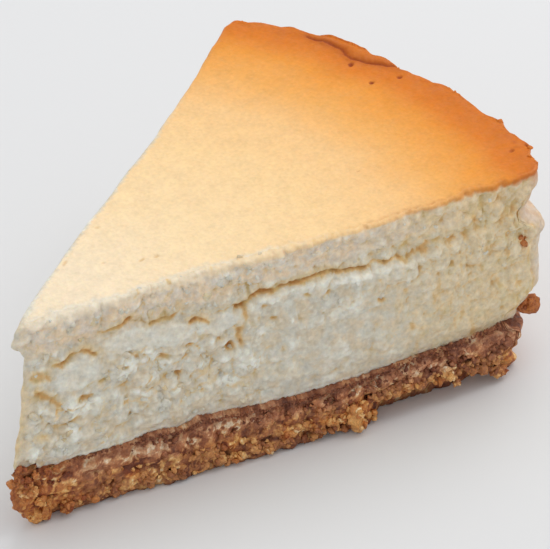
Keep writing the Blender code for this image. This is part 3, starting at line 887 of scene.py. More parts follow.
@dataclass
class CreamFilling:
    """The cream filling, with its two cuts, its outer wall and its baked top."""

    outline: WedgeOutline = field(default_factory=WedgeOutline)
    marks: CutMarks = field(default_factory=CutMarks)
    ledge: Ledge = field(default_factory=Ledge)
    bottom: float = 9.4
    rows: int = 128
    near_step: float = 0.3
    rim_step: float = 0.8
    far_step: float = 0.85
    top_step: float = 0.85
    lean: float = 0.5
    crack_depth: float = 0.5
    hollow_depth: float = 0.75
    # How strongly painted shade darkens the pits of the cuts and the outer wall.
    pit_shade: float = 0.62
    under_border: float = 3.4
    right_part: Range = (46.0, 60.0)
    brown_part: Range = (62.0, 100.0)
    pale_band: Range = (40.5, 42.5)
    far_smooth_top: Range = (42.0, 47.5)
    lip_heights: Range = (42.5, 46.5)
    far_reach: Range = (6.0, 102.0)
    rim_reach: Range = (-44.0, 44.0)
    tip_reach: float = 22.0
    tip_profile: Profile = ((12.0, 6.0), (16.0, 6.4), (20.0, 5.2), (25.0, 3.6), (30.0, 2.4), (36.0, 1.1),
                            (40.0, 0.5), (42.0, 1.4), (44.5, 3.6), (46.5, 2.6), (48.6, 1.0))
    rim_profile: Profile = ((12.0, 7.8), (14.5, 6.8), (17.0, 4.2), (20.0, 1.8), (24.0, 1.5), (28.0, 1.4),
                            (31.2, 0.8), (33.0, -0.3), (34.8, 0.3), (36.2, 2.8), (37.8, 4.0), (39.4, 3.8),
                            (41.1, 2.7), (42.7, 1.8), (44.3, 0.5), (46.5, 0.3), (48.6, 0.0))
    rim_profile_far_share: float = 0.45
    rim_sway: Profile = ((-22.7, 0.6), (-16.0, 1.2), (-8.0, 0.9), (0.0, 0.3), (8.0, 0.2), (15.0, 0.5),
                         (22.7, 0.0))
    lip: Profile = (
        (-22.7, 0.0), (-20.4, -0.5), (-19.0, -0.6), (-17.6, 0.9), (-16.0, 0.3), (-14.2, -0.3), (-12.5, 0.4),
        (-9.3, -0.3), (-7.0, 0.2), (-5.0, 0.7), (-3.6, 1.0), (-2.0, 0.2), (0.0, -0.1), (2.5, -0.4),
        (5.0, 0.4), (6.4, 0.0), (7.7, 1.2), (9.0, 1.3), (12.0, 1.5), (13.2, 0.5), (15.0, 0.5), (16.4, 1.0),
        (17.5, 0.3), (19.6, 0.3), (21.2, -0.3), (22.7, -0.8),
    )
    near_sway: Profile = ((0.0, 0.0), (20.0, 0.5), (45.0, 0.1), (70.0, 0.8), (90.0, 0.5), (104.0, -0.5),
                          (115.0, -0.9))
    far_sway: Profile = ((0.0, 0.0), (8.0, 0.9), (15.0, 1.1), (30.0, 1.2), (50.0, 0.2), (70.0, -0.6),
                         (90.0, -0.6), (105.0, 0.2), (115.0, 0.7))
    far_crack: Crack = Crack(((26.0, 37.0), (34.0, 39.0), (44.0, 38.0), (52.0, 39.4), (63.0, 38.4)), 1.0,
                             0.5, 0.55)
    far_pit_count: int = 46
    far_pits: Profile = ((15.0, 45.0), (0.5, 1.6), (0.4, 1.0), (0.4, 1.2), (0.3, 0.9), (-40.0, 40.0))
    rim_pit_count: int = 40
    rim_pits: Profile = ((15.0, 45.0), (0.4, 1.3), (0.3, 0.9), (0.3, 0.9), (0.4, 0.9), (-30.0, 30.0))
    wrinkle: Profile = ((2.4, 0.3), (3.5, 1.4), (4.6, 2.0), (5.7, 2.6), (7.5, 3.5), (8.4, 2.7), (9.6, 1.7),
                        (11.5, 1.1), (14.0, 0.7))
    edge_rounding: Profile = ((0.0, 0.6), (8.0, 1.2), (50.0, 1.0), (75.0, 0.4), (90.0, 0.15), (108.0, 0.1))
    top_marks: tuple[Spot, ...] = as_spots(
        (109.0, 13.2, 0.85, 0.6, 0.5, 1.0, 40.0), (106.9, 5.2, 0.6, 0.5, 0.4, 1.0),
        (112.0, 2.1, 0.6, 0.5, 0.4, 1.0), (111.6, -35.6, 0.7, 1.6, 0.7, 0.85, 30.0),
        (31.8, -2.6, 0.8, 0.4, 0.25, 0.5), (34.5, -4.0, 0.7, 0.4, 0.2, 0.4),
        (21.0, 8.6, 1.1, 0.4, 0.2, 0.4, 25.0), (34.0, 12.4, 0.6, 0.4, 0.2, 0.35),
        (107.2, -34.0, 0.7, 0.5, 0.3, 0.6), (82.0, -14.8, 0.4, 0.3, 0.15, 0.3),
        (26.0, 2.6, 0.4, 0.3, 0.15, 0.3),
    )

    def curdled(self, s: np.ndarray, z: np.ndarray, seed: int) -> tuple[np.ndarray, np.ndarray, np.ndarray]:
        """Give the curdled relief of a cut.

        Args:
            s: Distance from the tip.
            z: Height.
            seed: Which cut's curds.

        Returns:
            The relief in millimetres, how white the curds are, and how strong the painted golden
            shade is in the seams between them, both from 0 to 1.
        """
        warp_s = s + 0.9 * SmoothNoise(seed + 5, 2.6, 3).at(s, z)
        warp_z = z + 0.9 * SmoothNoise(seed + 6, 2.6, 3).at(s, z)
        rough = np.clip(0.7 + 0.6 * SmoothNoise(seed, 10.0, 2).at(s, z), 0.0, 1.0)
        large, tone, seam = FlakeField(seed + 10, 4.4, 0.8, 0.8).at(warp_s, warp_z)
        middle, tone_middle, seam_middle = FlakeField(seed + 60, 2.2, 0.9, 0.8).at(warp_s, warp_z)
        small, _, _ = FlakeField(seed + 110, 1.1, 0.8, 0.7).at(warp_s, warp_z)
        relief = (1.35 * large + 1.0 * middle) * (0.2 + 0.8 * rough) + 0.36 * small
        relief += 0.3 * SmoothNoise(seed + 40, 7.0, 2).at(s, z)
        shown = np.clip(0.5 + 0.9 * SmoothNoise(seed + 41, 4.0, 3).at(s, z), 0.0, 1.0)
        # Painted shade: golden in the seams where the flakes meet.
        golden = np.maximum(seam, 0.6 * seam_middle) * shown * rough
        return relief, rough * (0.55 * tone + 0.45 * tone_middle), golden

    def near_cut(self, s: np.ndarray, z: np.ndarray) -> Surface:
        """Give the near cut's surface.

        Args:
            s: Distance from the tip.
            z: Height.

        Returns:
            The surface at each place.
        """
        grid_s, grid_z = s, z
        s = grid_s + 0.7 * SmoothNoise(7, 2.0, 3).at(grid_s, grid_z)
        z = grid_z + 0.6 * SmoothNoise(8, 2.0, 3).at(grid_s, grid_z)
        steady_s, steady_z = 0.75 * grid_s + 0.25 * s, 0.75 * grid_z + 0.25 * z
        relief, white, golden = self.curdled(grid_s, grid_z, 100)
        right = ease(*self.right_part, s)
        band = ease(*self.pale_band, z - 0.02 * (s - 60.0)) * ease(0.0, 4.0, s)
        strength = 1.0 - right + right * (
            0.55 + 0.35 * ease(27.0, 33.0, z + 2.0 * SmoothNoise(9, 9.0, 2).at(s, z)))
        strength = strength + 0.12 * ease(84.0, 100.0, s)
        low = grid_z - BORDER.height(grid_s)
        strength = strength * (0.1 + 0.9 * ease(0.3, 3.5, low))
        smeared = np.zeros(s.shape)
        for spot in self.marks.smears:
            smeared = np.maximum(smeared, spot.stain * ease(0.2, 0.5, spot.share(s, z)))
        relief = relief * strength * (1.0 - 0.25 * band) * (1.0 - 0.85 * smeared) + 0.35 * smeared
        relief += 0.2 * SmoothNoise(11, 1.2, 4, 0.7).at(grid_s * 1.3, grid_z * 0.7)
        # Painted shade from the seams between curds; the patches added below are real tan.
        stain = 0.62 * golden * (1.0 - 0.65 * right) * (1.0 - smeared)
        patchy = ease(0.1, 0.8, SmoothNoise(16, 3.6, 3).at(s, z)) * (1.0 - smeared)
        streaky = ease(0.1, 0.7, SmoothNoise(18, 2.6, 3).at(grid_s, 0.35 * grid_z))
        far_along = ease(*self.brown_part, s)
        stain += 0.22 * patchy * (1.0 - 0.4 * right) + far_along * (0.26 + 0.34 * streaky)
        tanned = (1.0 - ease(4.0, 9.0, grid_s)) * bell(z - 32.0, 4.0)
        tanned = tanned * ease(-0.3, 0.5, SmoothNoise(19, 4.0, 3).at(s, z))
        stain = np.maximum(stain, 0.75 * tanned)
        pale = 0.9 * ease(0.35, 0.75, white) * strength * (1.0 - 0.6 * band) * (1.0 - tanned)
        pale = np.maximum(pale * (1.0 - smeared), 0.4 * smeared) * (1.0 - 0.5 * ease(78.0, 100.0, s))
        line = along_profile(self.ledge.line, steady_s)
        stand = ease(self.ledge.start, self.ledge.start + 5.0, s) * (1.0 - 0.6 * ease(88.0, 108.0, s))
        below = ease(-0.7, 0.7, line - steady_z)
        relief += stand * self.ledge.proud * below * (1.0 - 0.8 * ease(4.0, 16.0, line - z))
        relief -= stand * self.ledge.recess * (1.0 - below) * (1.0 - ease(5.0, 9.0, z - line))
        broken = np.clip(0.5 + 0.7 * SmoothNoise(17, 3.2, 2).at(grid_s, grid_z), 0.0, 1.0)
        # Painted highlight: white along the top of the ledge's lip, which faces up to the light.
        pale = np.maximum(pale, 0.75 * stand * bell(z - line + 1.6, 1.3) * broken)
        s, z = steady_s, steady_z
        # Painted shade: warm colour down each crack, and a painted shadow just above it, under the band's
        # overhang; both take out the white.
        for crack in self.marks.cracks:
            away = distance_to_path(crack.path, s, z)
            share = bell(away, crack.width * (0.45 + 0.7 * broken)) * (0.35 + 0.9 * broken)
            relief -= self.crack_depth * crack.depth * share
            overhang_shadow = bell(distance_to_path(crack.path, s, z - 0.7), 1.3) * (0.5 + 0.5 * broken)
            stain = np.maximum(stain, crack.stain * np.maximum(0.85 * share, 0.42 * overhang_shadow))
            pale = pale * (1.0 - np.maximum(share, 0.6 * overhang_shadow))
        # Painted shade: warm tan in the hollows, which also lose their white.
        pale = pale * sink(self.marks.hollows, s, z, relief, stain, self.hollow_depth, self.pit_shade)
        sink(self.marks.curds, s, z, relief, pale, -1.0)
        relief -= self.lean * (1.0 - ease(14.0, 40.0, z)) + 0.8 * (1.0 - ease(0.0, 6.5, low))
        relief -= self.under_border * (1.0 - ease(-0.25, 0.25, low))
        return Surface(relief + along_profile(self.near_sway, s), stain, pale, band=band)

    def near_places(self, s: np.ndarray, z: np.ndarray, out: np.ndarray) -> np.ndarray:
        """Give places by the near cut.

        Args:
            s: Distances from the tip.
            z: Heights.
            out: How far they stand out of the cut.

        Returns:
            The places.
        """
        plan = s[:, None] * self.outline.along(Wall.NEAR)
        relief = self.near_cut(s, z).relief + out
        flat = plan + relief[:, None] * self.outline.out(Wall.NEAR)
        flat += set_in(plan, self.outline.radius, along_profile(self.rim_profile, z)[:, None])[:, 0]
        flat[:, 0] -= (1.0 - ease(0.0, self.tip_reach, plan[:, 0])) * along_profile(self.tip_profile, z)
        return np.column_stack([flat, z])

    def rolled(self, from_top: np.ndarray, rounding: np.ndarray) -> tuple[np.ndarray, np.ndarray]:
        """Give how far a rounded top edge lies back.

        Args:
            from_top: Depth under the top.
            rounding: The edge's radius.

        Returns:
            How far it lies back, and a share from 0 below the rounding to 1 at the top.
        """
        arc = np.clip(1.0 - from_top / (1.3 * rounding), 0.0, 1.0)
        return rounding * (1.0 - np.sqrt(1.0 - arc**2.2)), arc

    def far_cut(self, s: np.ndarray, z: np.ndarray) -> Surface:
        """Give the far cut's surface.

        Args:
            s: Distance from the tip.
            z: Height.

        Returns:
            The surface at each place.
        """
        relief, white, golden = self.curdled(s, z, 300)
        relief = 0.6 * relief * (1.0 - 0.75 * ease(*self.far_smooth_top, z))
        # Painted shade: golden in the seams between curds; the crack and the pits below get painted warm
        # shade too.
        stain = 0.5 * golden
        pale = 0.6 * ease(0.35, 0.75, white)
        warped_s = s + 0.7 * SmoothNoise(14, 2.4, 2).at(s, z)
        warped_z = z + 0.7 * SmoothNoise(15, 2.4, 2).at(s, z)
        share = bell(distance_to_path(self.far_crack.path, warped_s, warped_z), self.far_crack.width)
        share = share * ease(-0.3, 0.3, SmoothNoise(16, 5.0, 2).at(s, z))
        relief -= self.far_crack.depth * share
        stain = np.maximum(stain, self.far_crack.stain * share)
        draw, count, (start, reach) = random.Random(SEED), self.far_pit_count, self.far_reach
        pits = [drawn_spot(draw, start + reach * (index + draw.random()) / count, self.far_pits)
                for index in range(count)]
        sink(pits, warped_s, warped_z, relief, stain, self.hollow_depth, self.pit_shade)
        return Surface(relief + along_profile(self.far_sway, s), stain, pale)

    def outer_wall(self, arc: np.ndarray, z: np.ndarray) -> Surface:
        """Give the outer wall's surface.

        Args:
            arc: Distance round the wall.
            z: Height.

        Returns:
            The surface at each place.
        """
        angle = np.degrees(arc / self.outline.radius)
        relief = along_profile(self.rim_sway, angle)
        relief += 0.25 * SmoothNoise(21, 9.0, 4).at(arc, z)
        small, _ = GrainField(22, 1.6, 0.6, 1.0, 0.5).at(arc, z)
        relief += 0.07 * small
        high = ease(*self.lip_heights, z)
        relief += high * (along_profile(self.lip, angle) + 0.4 * SmoothNoise(25, 2.6, 3, 0.6).at(arc, z))
        stain = 0.25 * ease(0.2, 0.8, SmoothNoise(23, 6.0, 3).at(arc, z))
        draw = random.Random(SEED + 1)
        pits = [drawn_spot(draw, draw.uniform(*self.rim_reach), self.rim_pits)
                for _ in range(self.rim_pit_count)]
        # Painted shade in the pits.
        sink(pits, arc, z, relief, stain, self.hollow_depth, self.pit_shade)
        fade = SLICE_HEIGHT - z + 1.6 * SmoothNoise(24, 7.0, 3).at(arc, z)
        skin = 0.9 - 0.62 * ease(0.8, 4.5, fade) - 0.14 * ease(6.0, 20.0, fade)
        return Surface(relief, stain, 0.0, skin)

    def creased(self, x: np.ndarray, y: np.ndarray, width: float = 0.42) -> np.ndarray:
        """Tell how far places lie within the crease by the rim.

        Args:
            x: Distance along the slice's middle.
            y: Distance across it.
            width: The crease's half width.

        Returns:
            From 0 outside it to 1 in its middle.
        """
        radius = self.outline.radius
        distance, turn = np.hypot(x, y), np.arctan2(y, x)
        path = tuple((math.radians(degrees) * radius, radius - inset) for degrees, inset in self.wrinkle)
        wobble = 0.6 * SmoothNoise(33, 3.0, 4, 0.6).at(x, y)
        return bell(distance_to_path(path, turn * radius, distance + wobble), width)

    def fine_places(self, places: np.ndarray) -> np.ndarray:
        """Tell which places on the top need close points: its edges, its marks and the crease."""
        x, y = places[:, 0], places[:, 1]
        near = np.abs(places @ self.outline.out(Wall.NEAR)) < 3.0
        wanted = near | (np.hypot(x, y) > self.outline.radius - 4.5)
        for spot in self.top_marks:
            wanted |= np.hypot(x - spot.s, y - spot.z) < 1.9 * max(spot.half_s, spot.half_z)
        return wanted

    def top_drop(self, x: np.ndarray, y: np.ndarray) -> np.ndarray:
        """Give how far the top lies under the slice's height.

        Args:
            x: Distance along the slice's middle.
            y: Distance across it.

        Returns:
            The drop at each place.
        """
        radius = self.outline.radius
        distance, angle = np.hypot(x, y), np.degrees(np.arctan2(y, x))
        drop = 0.22 + 0.22 * SmoothNoise(31, 30.0, 2).at(x, y)
        drop += 0.25 * ease(radius - 2.0, radius + 1.0, distance) ** 2
        drop -= 0.28 * ease(radius - 7.0, radius - 1.5, distance) * SmoothNoise(32, 3.2, 3).at(x, y)
        drop += 0.42 * self.creased(x, y)
        beyond = bell(distance - radius + 0.6, 1.6) * ease(1.5, 4.0, angle) * (1.0 - ease(11.0, 13.0, angle))
        drop -= 0.4 * beyond
        for spot in self.top_marks:
            drop += spot.depth * spot.share(x, y)
        return drop

    def build(self, material: bpy.types.Material) -> bpy.types.Object:
        """Build the filling as one closed piece.

        Args:
            material: The cream's material.

        Returns:
            The piece.
        """
        columns = self.outline.columns(self.near_step, self.rim_step, self.far_step)
        x, y = columns.plan[:, :1], columns.plan[:, 1:]
        top = SLICE_HEIGHT - self.top_drop(x[:, 0], y[:, 0])[:, None]
        z = self.bottom + (top - self.bottom) * np.linspace(0.0, 1.0, self.rows)[None, :]
        readers = {Wall.NEAR: self.near_cut, Wall.FAR: self.far_cut, Wall.RIM: self.outer_wall}
        marks = gathered(columns, readers, z)
        relief, stain, pale, skin = (marks[key] for key in ("relief", "stain", "pale", "skin"))
        from_top = top - z
        rim = columns.shares[Wall.RIM][:, None]
        ragged = SmoothNoise(41, 1.6, 3).at(x, y, z)
        distance = np.hypot(x, y)
        near = columns.shares[Wall.NEAR][:, None]
        rounding = 0.4 + near * along_profile(self.edge_rounding, distance)
        back, arc = self.rolled(from_top, rounding)
        relief -= back * (1.0 + (0.15 + 0.25 * near) * ragged)
        # Painted shade and highlight: points lower than the cut around them get golden painted shade, and
        # points that stand out get painted white highlights.
        hollow = blurred(relief, 4) - relief
        cut = 1.0 - 0.7 * rim
        stain = np.clip(stain + 0.45 * ease(0.10, 0.8, hollow) * cut, 0.0, 1.0)
        pale = np.clip(pale + 0.5 * ease(0.08, 0.5, -hollow) * cut, 0.0, 1.0)
        # Painted shade: a tan strip down the tip's edge, on the side turned from the light.
        tip_edge_shade = (1.0 - ease(0.6, 4.0, x)) * (1.0 - ease(33.0, 37.0, z))
        stain = np.maximum(stain, 0.36 * tip_edge_shade * (0.8 + 0.3 * ragged))
        stain = stain * (1.0 - 0.8 * arc)
        fringe = ease(0.05, 0.5, arc) * near
        white = ease(-0.5, 0.6, ragged)
        whitened = 0.55 * white * fringe * (1.0 - ease(40.0, 75.0, distance))
        pale = np.maximum(pale * (1.0 - 0.5 * fringe), whitened)
        pale = pale * (1.0 - ease(45.0, 75.0, distance) * ease(0.0, 0.3, arc))
        stain = np.maximum(stain, 0.4 * fringe * ease(0.3, 0.6, SmoothNoise(42, 1.8, 2).at(x, y, z)))
        warmth = 0.4 + 0.55 * ease(25.0, 80.0, distance)
        skin = np.maximum(skin, fringe * (warmth + 0.3 * np.clip(ragged, -0.5, 0.8)))
        thickness = 0.05 + 1.2 * ease(62.0, 112.0, distance)
        edge = 1.0 - ease(0.6, 1.5, (from_top + 0.6 * ragged) / thickness)
        skin = np.clip(np.maximum(skin, edge * ease(55.0, 90.0, distance) * 0.95), 0.0, 1.0)
        browned = near * ease(60.0, 90.0, distance) * bell(from_top - 0.55 - 0.3 * ragged, 0.45)
        stain = np.maximum(stain, 0.3 * browned * ease(-0.4, 0.5, ragged))
        near_share = 1.0 - ease(-18.0, 2.0, np.degrees(np.arctan2(y, x))) * (1.0 - self.rim_profile_far_share)
        inset = along_profile(self.rim_profile, z) * near_share
        points = stood(columns, relief, z, self.outline.radius, inset, self.tip_reach,
                       along_profile(self.tip_profile, z))
        inner, faces = closed(points, self.top_step, self.fine_places)
        top_points, top_marks = self._top(inner, points[:, -1, :2])
        all_points = np.concatenate([points.reshape(-1, 3), top_points])
        marks = {"stain": stain, "pale": pale, "skin": skin, "band": marks["band"] * (1.0 - arc)}
        joined = {key: np.concatenate([value.ravel(), top_marks[key]]) for key, value in marks.items()}
        return make_piece("cream_filling", all_points, faces, joined, material)

    def _top(self, inner: np.ndarray, ring: np.ndarray) -> tuple[np.ndarray, dict[str, np.ndarray]]:
        """Give the top's inner points and their marks.

        Args:
            inner: Places of the points, seen from above.
            ring: The top's edge.

        Returns:
            The points, and their marks.
        """
        x, y = inner[:, 0], inner[:, 1]
        edge = distance_to_ring(ring, inner)
        near = np.abs(inner @ self.outline.out(Wall.NEAR))
        distance = np.hypot(x, y)
        z = SLICE_HEIGHT - self.top_drop(x, y)
        z += 0.045 * SmoothNoise(51, 2.4, 3).at(x, y)
        width = 1.5 - 1.2 * ease(45.0, 95.0, distance)
        ragged = SmoothNoise(52, 1.7, 3).at(x, y)
        at_cut = 1.0 - ease(4.0, 7.0, near)
        pale_edge = at_cut * (1.0 - ease(0.3, 1.1, (edge + 1.1 * ragged) / width))
        z -= 0.30 * at_cut * (1.0 - ease(0.0, 1.4, edge / width))
        z += 0.14 * pale_edge * SmoothNoise(53, 1.2, 2).at(x, y)
        skin = 1.0 - 0.6 * pale_edge * (1.0 - ease(45.0, 75.0, distance))
        broken = ease(-0.5, 0.6, SmoothNoise(54, 2.2, 3).at(x, y))
        stain = 0.34 * at_cut * ease(50.0, 85.0, distance) * bell(edge - 0.4, 0.5) * broken
        rim = ease(self.outline.radius - 2.6, self.outline.radius - 0.4, distance)
        stain = np.maximum(stain, 0.4 * rim * ease(0.0, 0.7, SmoothNoise(55, 1.5, 3).at(x, y)))
        stain = np.maximum(stain, np.maximum(self.creased(x, y, 0.5), 0.5 * self.creased(x, y, 1.4)))
        for spot in self.top_marks:
            stain = np.maximum(stain, spot.stain * ease(0.15, 0.7, spot.share(x, y)))
        points = np.stack([x, y, z], axis=1)
        return points, {"stain": stain, "pale": 0.35 * pale_edge, "skin": skin, "band": np.zeros(len(inner))}


@dataclass(frozen=True)
class Clump:
    """A clump of crumbs by the near side of the base: its place, radius and tone."""

    s: float
    z: float
    out: float
    radius: float
    tone: float


def as_clumps(*rows: tuple[float, ...]) -> tuple[Clump, ...]:
    """Turn rows of values, in the order of a clump's fields, into clumps."""
    return tuple(Clump(*row) for row in rows)


@dataclass
class CrumbBase:
    """The base of pressed crumbs: its packed core and the crumbs that stand out of it."""

    outline: WedgeOutline = field(default_factory=WedgeOutline)
    top: float = BASE_HEIGHT + 2.4
    rows: int = 50
    under_cream: float = 1.8
    well_under: float = 1.6
    near_step: float = 0.32
    rim_step: float = 0.5
    far_step: float = 0.45
    tip_reach: float = 22.0
    tip_profile: Profile = ((0.0, 2.2), (3.0, 4.6), (7.0, 7.2), (11.0, 7.6), (14.0, 7.2))
    rim_inset: float = 2.0
    corner_profile: Profile = ((0.0, 8.0), (1.4, 7.4), (3.0, 8.4), (5.0, 8.6), (6.6, 7.6), (8.2, 5.7),
                               (9.6, 5.2), (11.0, 5.2), (12.6, 7.4))
    near_stand: Profile = ((0.0, -1.4), (15.0, -0.6), (30.0, 0.6), (60.0, 0.9), (75.0, 0.5), (100.0, 0.4))
    near_sway: Profile = CreamFilling.near_sway
    far_sway: Profile = CreamFilling.far_sway
    # Cavities, each sunk in and darkened with painted shade.
    cavities: tuple[Spot, ...] = as_spots(
        (7.5, 6.0, 1.0, 0.8, 1.2, 0.8), (18.0, 4.0, 1.3, 0.7, 1.0, 0.7), (41.0, 3.0, 1.4, 1.0, 1.4, 0.8),
        (50.0, 4.0, 1.2, 0.8, 1.4, 0.9), (87.0, 5.4, 2.4, 1.3, 2.0, 1.0), (59.0, 2.2, 1.5, 0.8, 1.2, 0.8),
        (30.0, 2.6, 1.2, 0.6, 1.0, 0.6), (95.6, 7.6, 1.0, 0.8, 1.2, 0.8), (77.6, 7.4, 1.2, 0.6, 1.0, 0.7),
        (64.2, 1.0, 2.6, 1.5, 2.4, 0.95), (73.0, 6.6, 1.3, 0.8, 1.4, 0.9), (98.4, 6.6, 1.4, 0.7, 1.2, 0.8),
    )
    break_start: float = 74.0
    break_depth: float = 4.2
    break_height: float = 5.2

    def packed(self, s: np.ndarray, z: np.ndarray, seed: int) -> tuple[np.ndarray, np.ndarray]:
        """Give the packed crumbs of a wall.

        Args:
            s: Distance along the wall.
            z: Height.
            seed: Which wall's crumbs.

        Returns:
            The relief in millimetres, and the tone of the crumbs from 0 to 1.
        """
        warp_s = s + 0.5 * SmoothNoise(seed + 5, 1.8, 2).at(s, z)
        warp_z = z + 0.5 * SmoothNoise(seed + 6, 1.8, 2).at(s, z)
        large, tone_large = GrainField(seed + 10, 3.1, 0.55, 1.0, 0.7).at(warp_s, warp_z)
        middle, tone_middle = GrainField(seed + 20, 1.5, 0.5, 1.0, 0.9).at(warp_s, warp_z)
        small, tone_small = GrainField(seed + 30, 0.75, 0.5, 1.0, 0.9).at(warp_s, warp_z)
        loose = 1.0 - 0.55 * ease(6.5, 9.0, z)
        torn, _, _ = FlakeField(seed + 60, 2.6, 0.8, 0.8).at(warp_s, warp_z)
        relief = loose * (0.45 * large + 0.42 * middle) + 0.26 * small
        relief = relief + 0.25 * SmoothNoise(seed, 6.0).at(s, z) + (1.3 - 0.5 * loose) * torn
        tone = 0.5 + 1.35 * (0.38 * tone_middle + 0.42 * tone_small + 0.20 * tone_large - 0.5)
        return relief, tone

    def near_side(self, s: np.ndarray, z: np.ndarray) -> Surface:
        """Give the near side's surface.

        Args:
            s: Distance from the tip.
            z: Height.

        Returns:
            The surface, with the crumbs' tone in its pale mark, and painted shade at its foot, in its
            undercut and in its cavities as stain.
        """
        relief, tone = self.packed(s, z, 500)
        gone = ease(self.break_start - 2.0, self.break_start + 3.0, s)
        relief -= gone * self.break_depth * (1.0 - ease(self.break_height - 2.5, self.break_height + 1.5, z))
        relief += along_profile(self.near_sway, s) + along_profile(self.near_stand, s)
        over = z - BORDER.height(s)
        relief = relief * (1.0 - 0.55 * ease(-2.2, -0.2, over)) - self.under_cream * ease(-0.15, 0.45, over)
        relief = relief - self.well_under * ease(0.5, 1.6, over)
        # Painted shade: darker at the foot of the base and in the undercut near 84 mm from the tip; the
        # cavities below add theirs.
        dark = 0.6 * (1.0 - ease(0.3, 2.6, z)) + 0.45 * bell(s - 84.0, 10.0) * (1.0 - ease(2.5, 6.0, z))
        tone = tone - 0.2 * bell(s - 24.0, 11.0) * bell(z - 6.5, 2.0) + 0.12 * bell(z - 9.5, 1.5)
        tone = tone - 0.15 * ease(96.0, 101.0, s) * ease(7.0, 9.0, z)
        sink(self.cavities, s, z, relief, dark)
        return Surface(relief, dark, tone)

    def far_side(self, s: np.ndarray, z: np.ndarray) -> Surface:
        """Give the far side's surface, with the crumbs' tone in its pale mark."""
        relief, tone = self.packed(s, z, 600)
        relief += along_profile(self.far_sway, s) - 0.8 - self.under_cream * ease(12.3, 13.0, z)
        relief = relief - self.well_under * ease(13.0, 14.0, z)
        return Surface(relief, 0.0, tone)

    def outer_side(self, arc: np.ndarray, z: np.ndarray) -> Surface:
        """Give the outer side's surface, with the crumbs' tone in its pale mark."""
        relief, tone = self.packed(arc, z, 700)
        relief = relief - self.under_cream * ease(12.3, 13.0, z) - self.well_under * ease(13.0, 14.0, z)
        return Surface(0.7 * relief, 0.0, tone)

    def inset(self, angle: np.ndarray, z: np.ndarray) -> np.ndarray:
        """Give how far the outer side lies in from the cake's radius, at an angle in degrees and a height."""
        corner = 1.0 - ease(-21.0, -13.0, angle)
        return self.rim_inset + (along_profile(self.corner_profile, z) - self.rim_inset) * corner

    def tip_inset(self, s: float, z: float) -> float:
        """Give how far a place by the tip is set in, at a distance along a cut and a height."""
        return (1.0 - share_at(0.0, self.tip_reach, s)) * amount_at(self.tip_profile, z)

    def build_core(self, material: bpy.types.Material) -> bpy.types.Object:
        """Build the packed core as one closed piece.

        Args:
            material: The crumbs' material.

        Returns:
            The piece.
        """
        columns = self.outline.columns(self.near_step, self.rim_step, self.far_step)
        z = np.tile(np.linspace(0.0, self.top, self.rows), (len(columns.plan), 1))
        readers = {Wall.NEAR: self.near_side, Wall.FAR: self.far_side, Wall.RIM: self.outer_side}
        marks = gathered(columns, readers, z)
        place = (columns.plan[:, :1], columns.plan[:, 1:], z)
        whole = marks["whole"]
        bare = np.maximum(0.0, 1.0 - whole)
        tone = marks["tone"] + bare * (0.5 + 0.6 * SmoothNoise(63, 1.6, 3).at(*place))
        tone = tone / np.maximum(whole, 1.0)
        relief = marks["relief"]
        relief += bare * 1.1 * SmoothNoise(64, 2.0, 4, 0.65).at(*place) - 0.5 * (1.0 - ease(0.0, 0.8, z))
        # Painted shade: crumbs lower than those around them are marked dark.
        hollow = np.clip(ease(0.05, 0.7, blurred(relief, 4) - relief), 0.0, 1.0)
        angle = np.degrees(np.arctan2(place[1], place[0]))
        tip_inset = along_profile(self.tip_profile, z) + 0.6 * SmoothNoise(61, 3.6, 3).at(*place)
        inset = self.inset(angle, z)
        points = stood(columns, relief, z, self.outline.radius, inset, self.tip_reach, tip_inset)
        _, faces = closed(points)
        border = BORDER.height(columns.along[Wall.NEAR])[:, None]
        border = np.where(columns.shares[Wall.NEAR][:, None] > 0.0, border, BASE_HEIGHT)
        # The dark mark also takes the near side's painted shade, and a darker line just under the border with
        # the cream.
        hollow = np.maximum(np.maximum(hollow, marks["stain"]), 0.55 * bell(z - border + 0.7, 0.7))
        shown = {"tone": np.clip(tone, 0.0, 1.0), "hollow": hollow}
        return make_piece("packed_crumbs", points.reshape(-1, 3), faces, shown, material)

    def near_place(self, s: float, z: float, out: float) -> np.ndarray:
        """Give a place by the near side of the base.

        Args:
            s: Distance from the tip.
            z: Height.
            out: How far it stands out past the plain side.

        Returns:
            The place.
        """
        stand = amount_at(self.near_sway, s) + amount_at(self.near_stand, s)
        flat = self.outline.along(Wall.NEAR) * s + self.outline.out(Wall.NEAR) * (stand + out)
        inset = along_profile(self.corner_profile, np.array([[z]]))
        flat += set_in(self.outline.along(Wall.NEAR)[None, :] * s, self.outline.radius, inset)[0, 0]
        flat[0] -= self.tip_inset(s, z)
        return np.array([flat[0], flat[1], z])


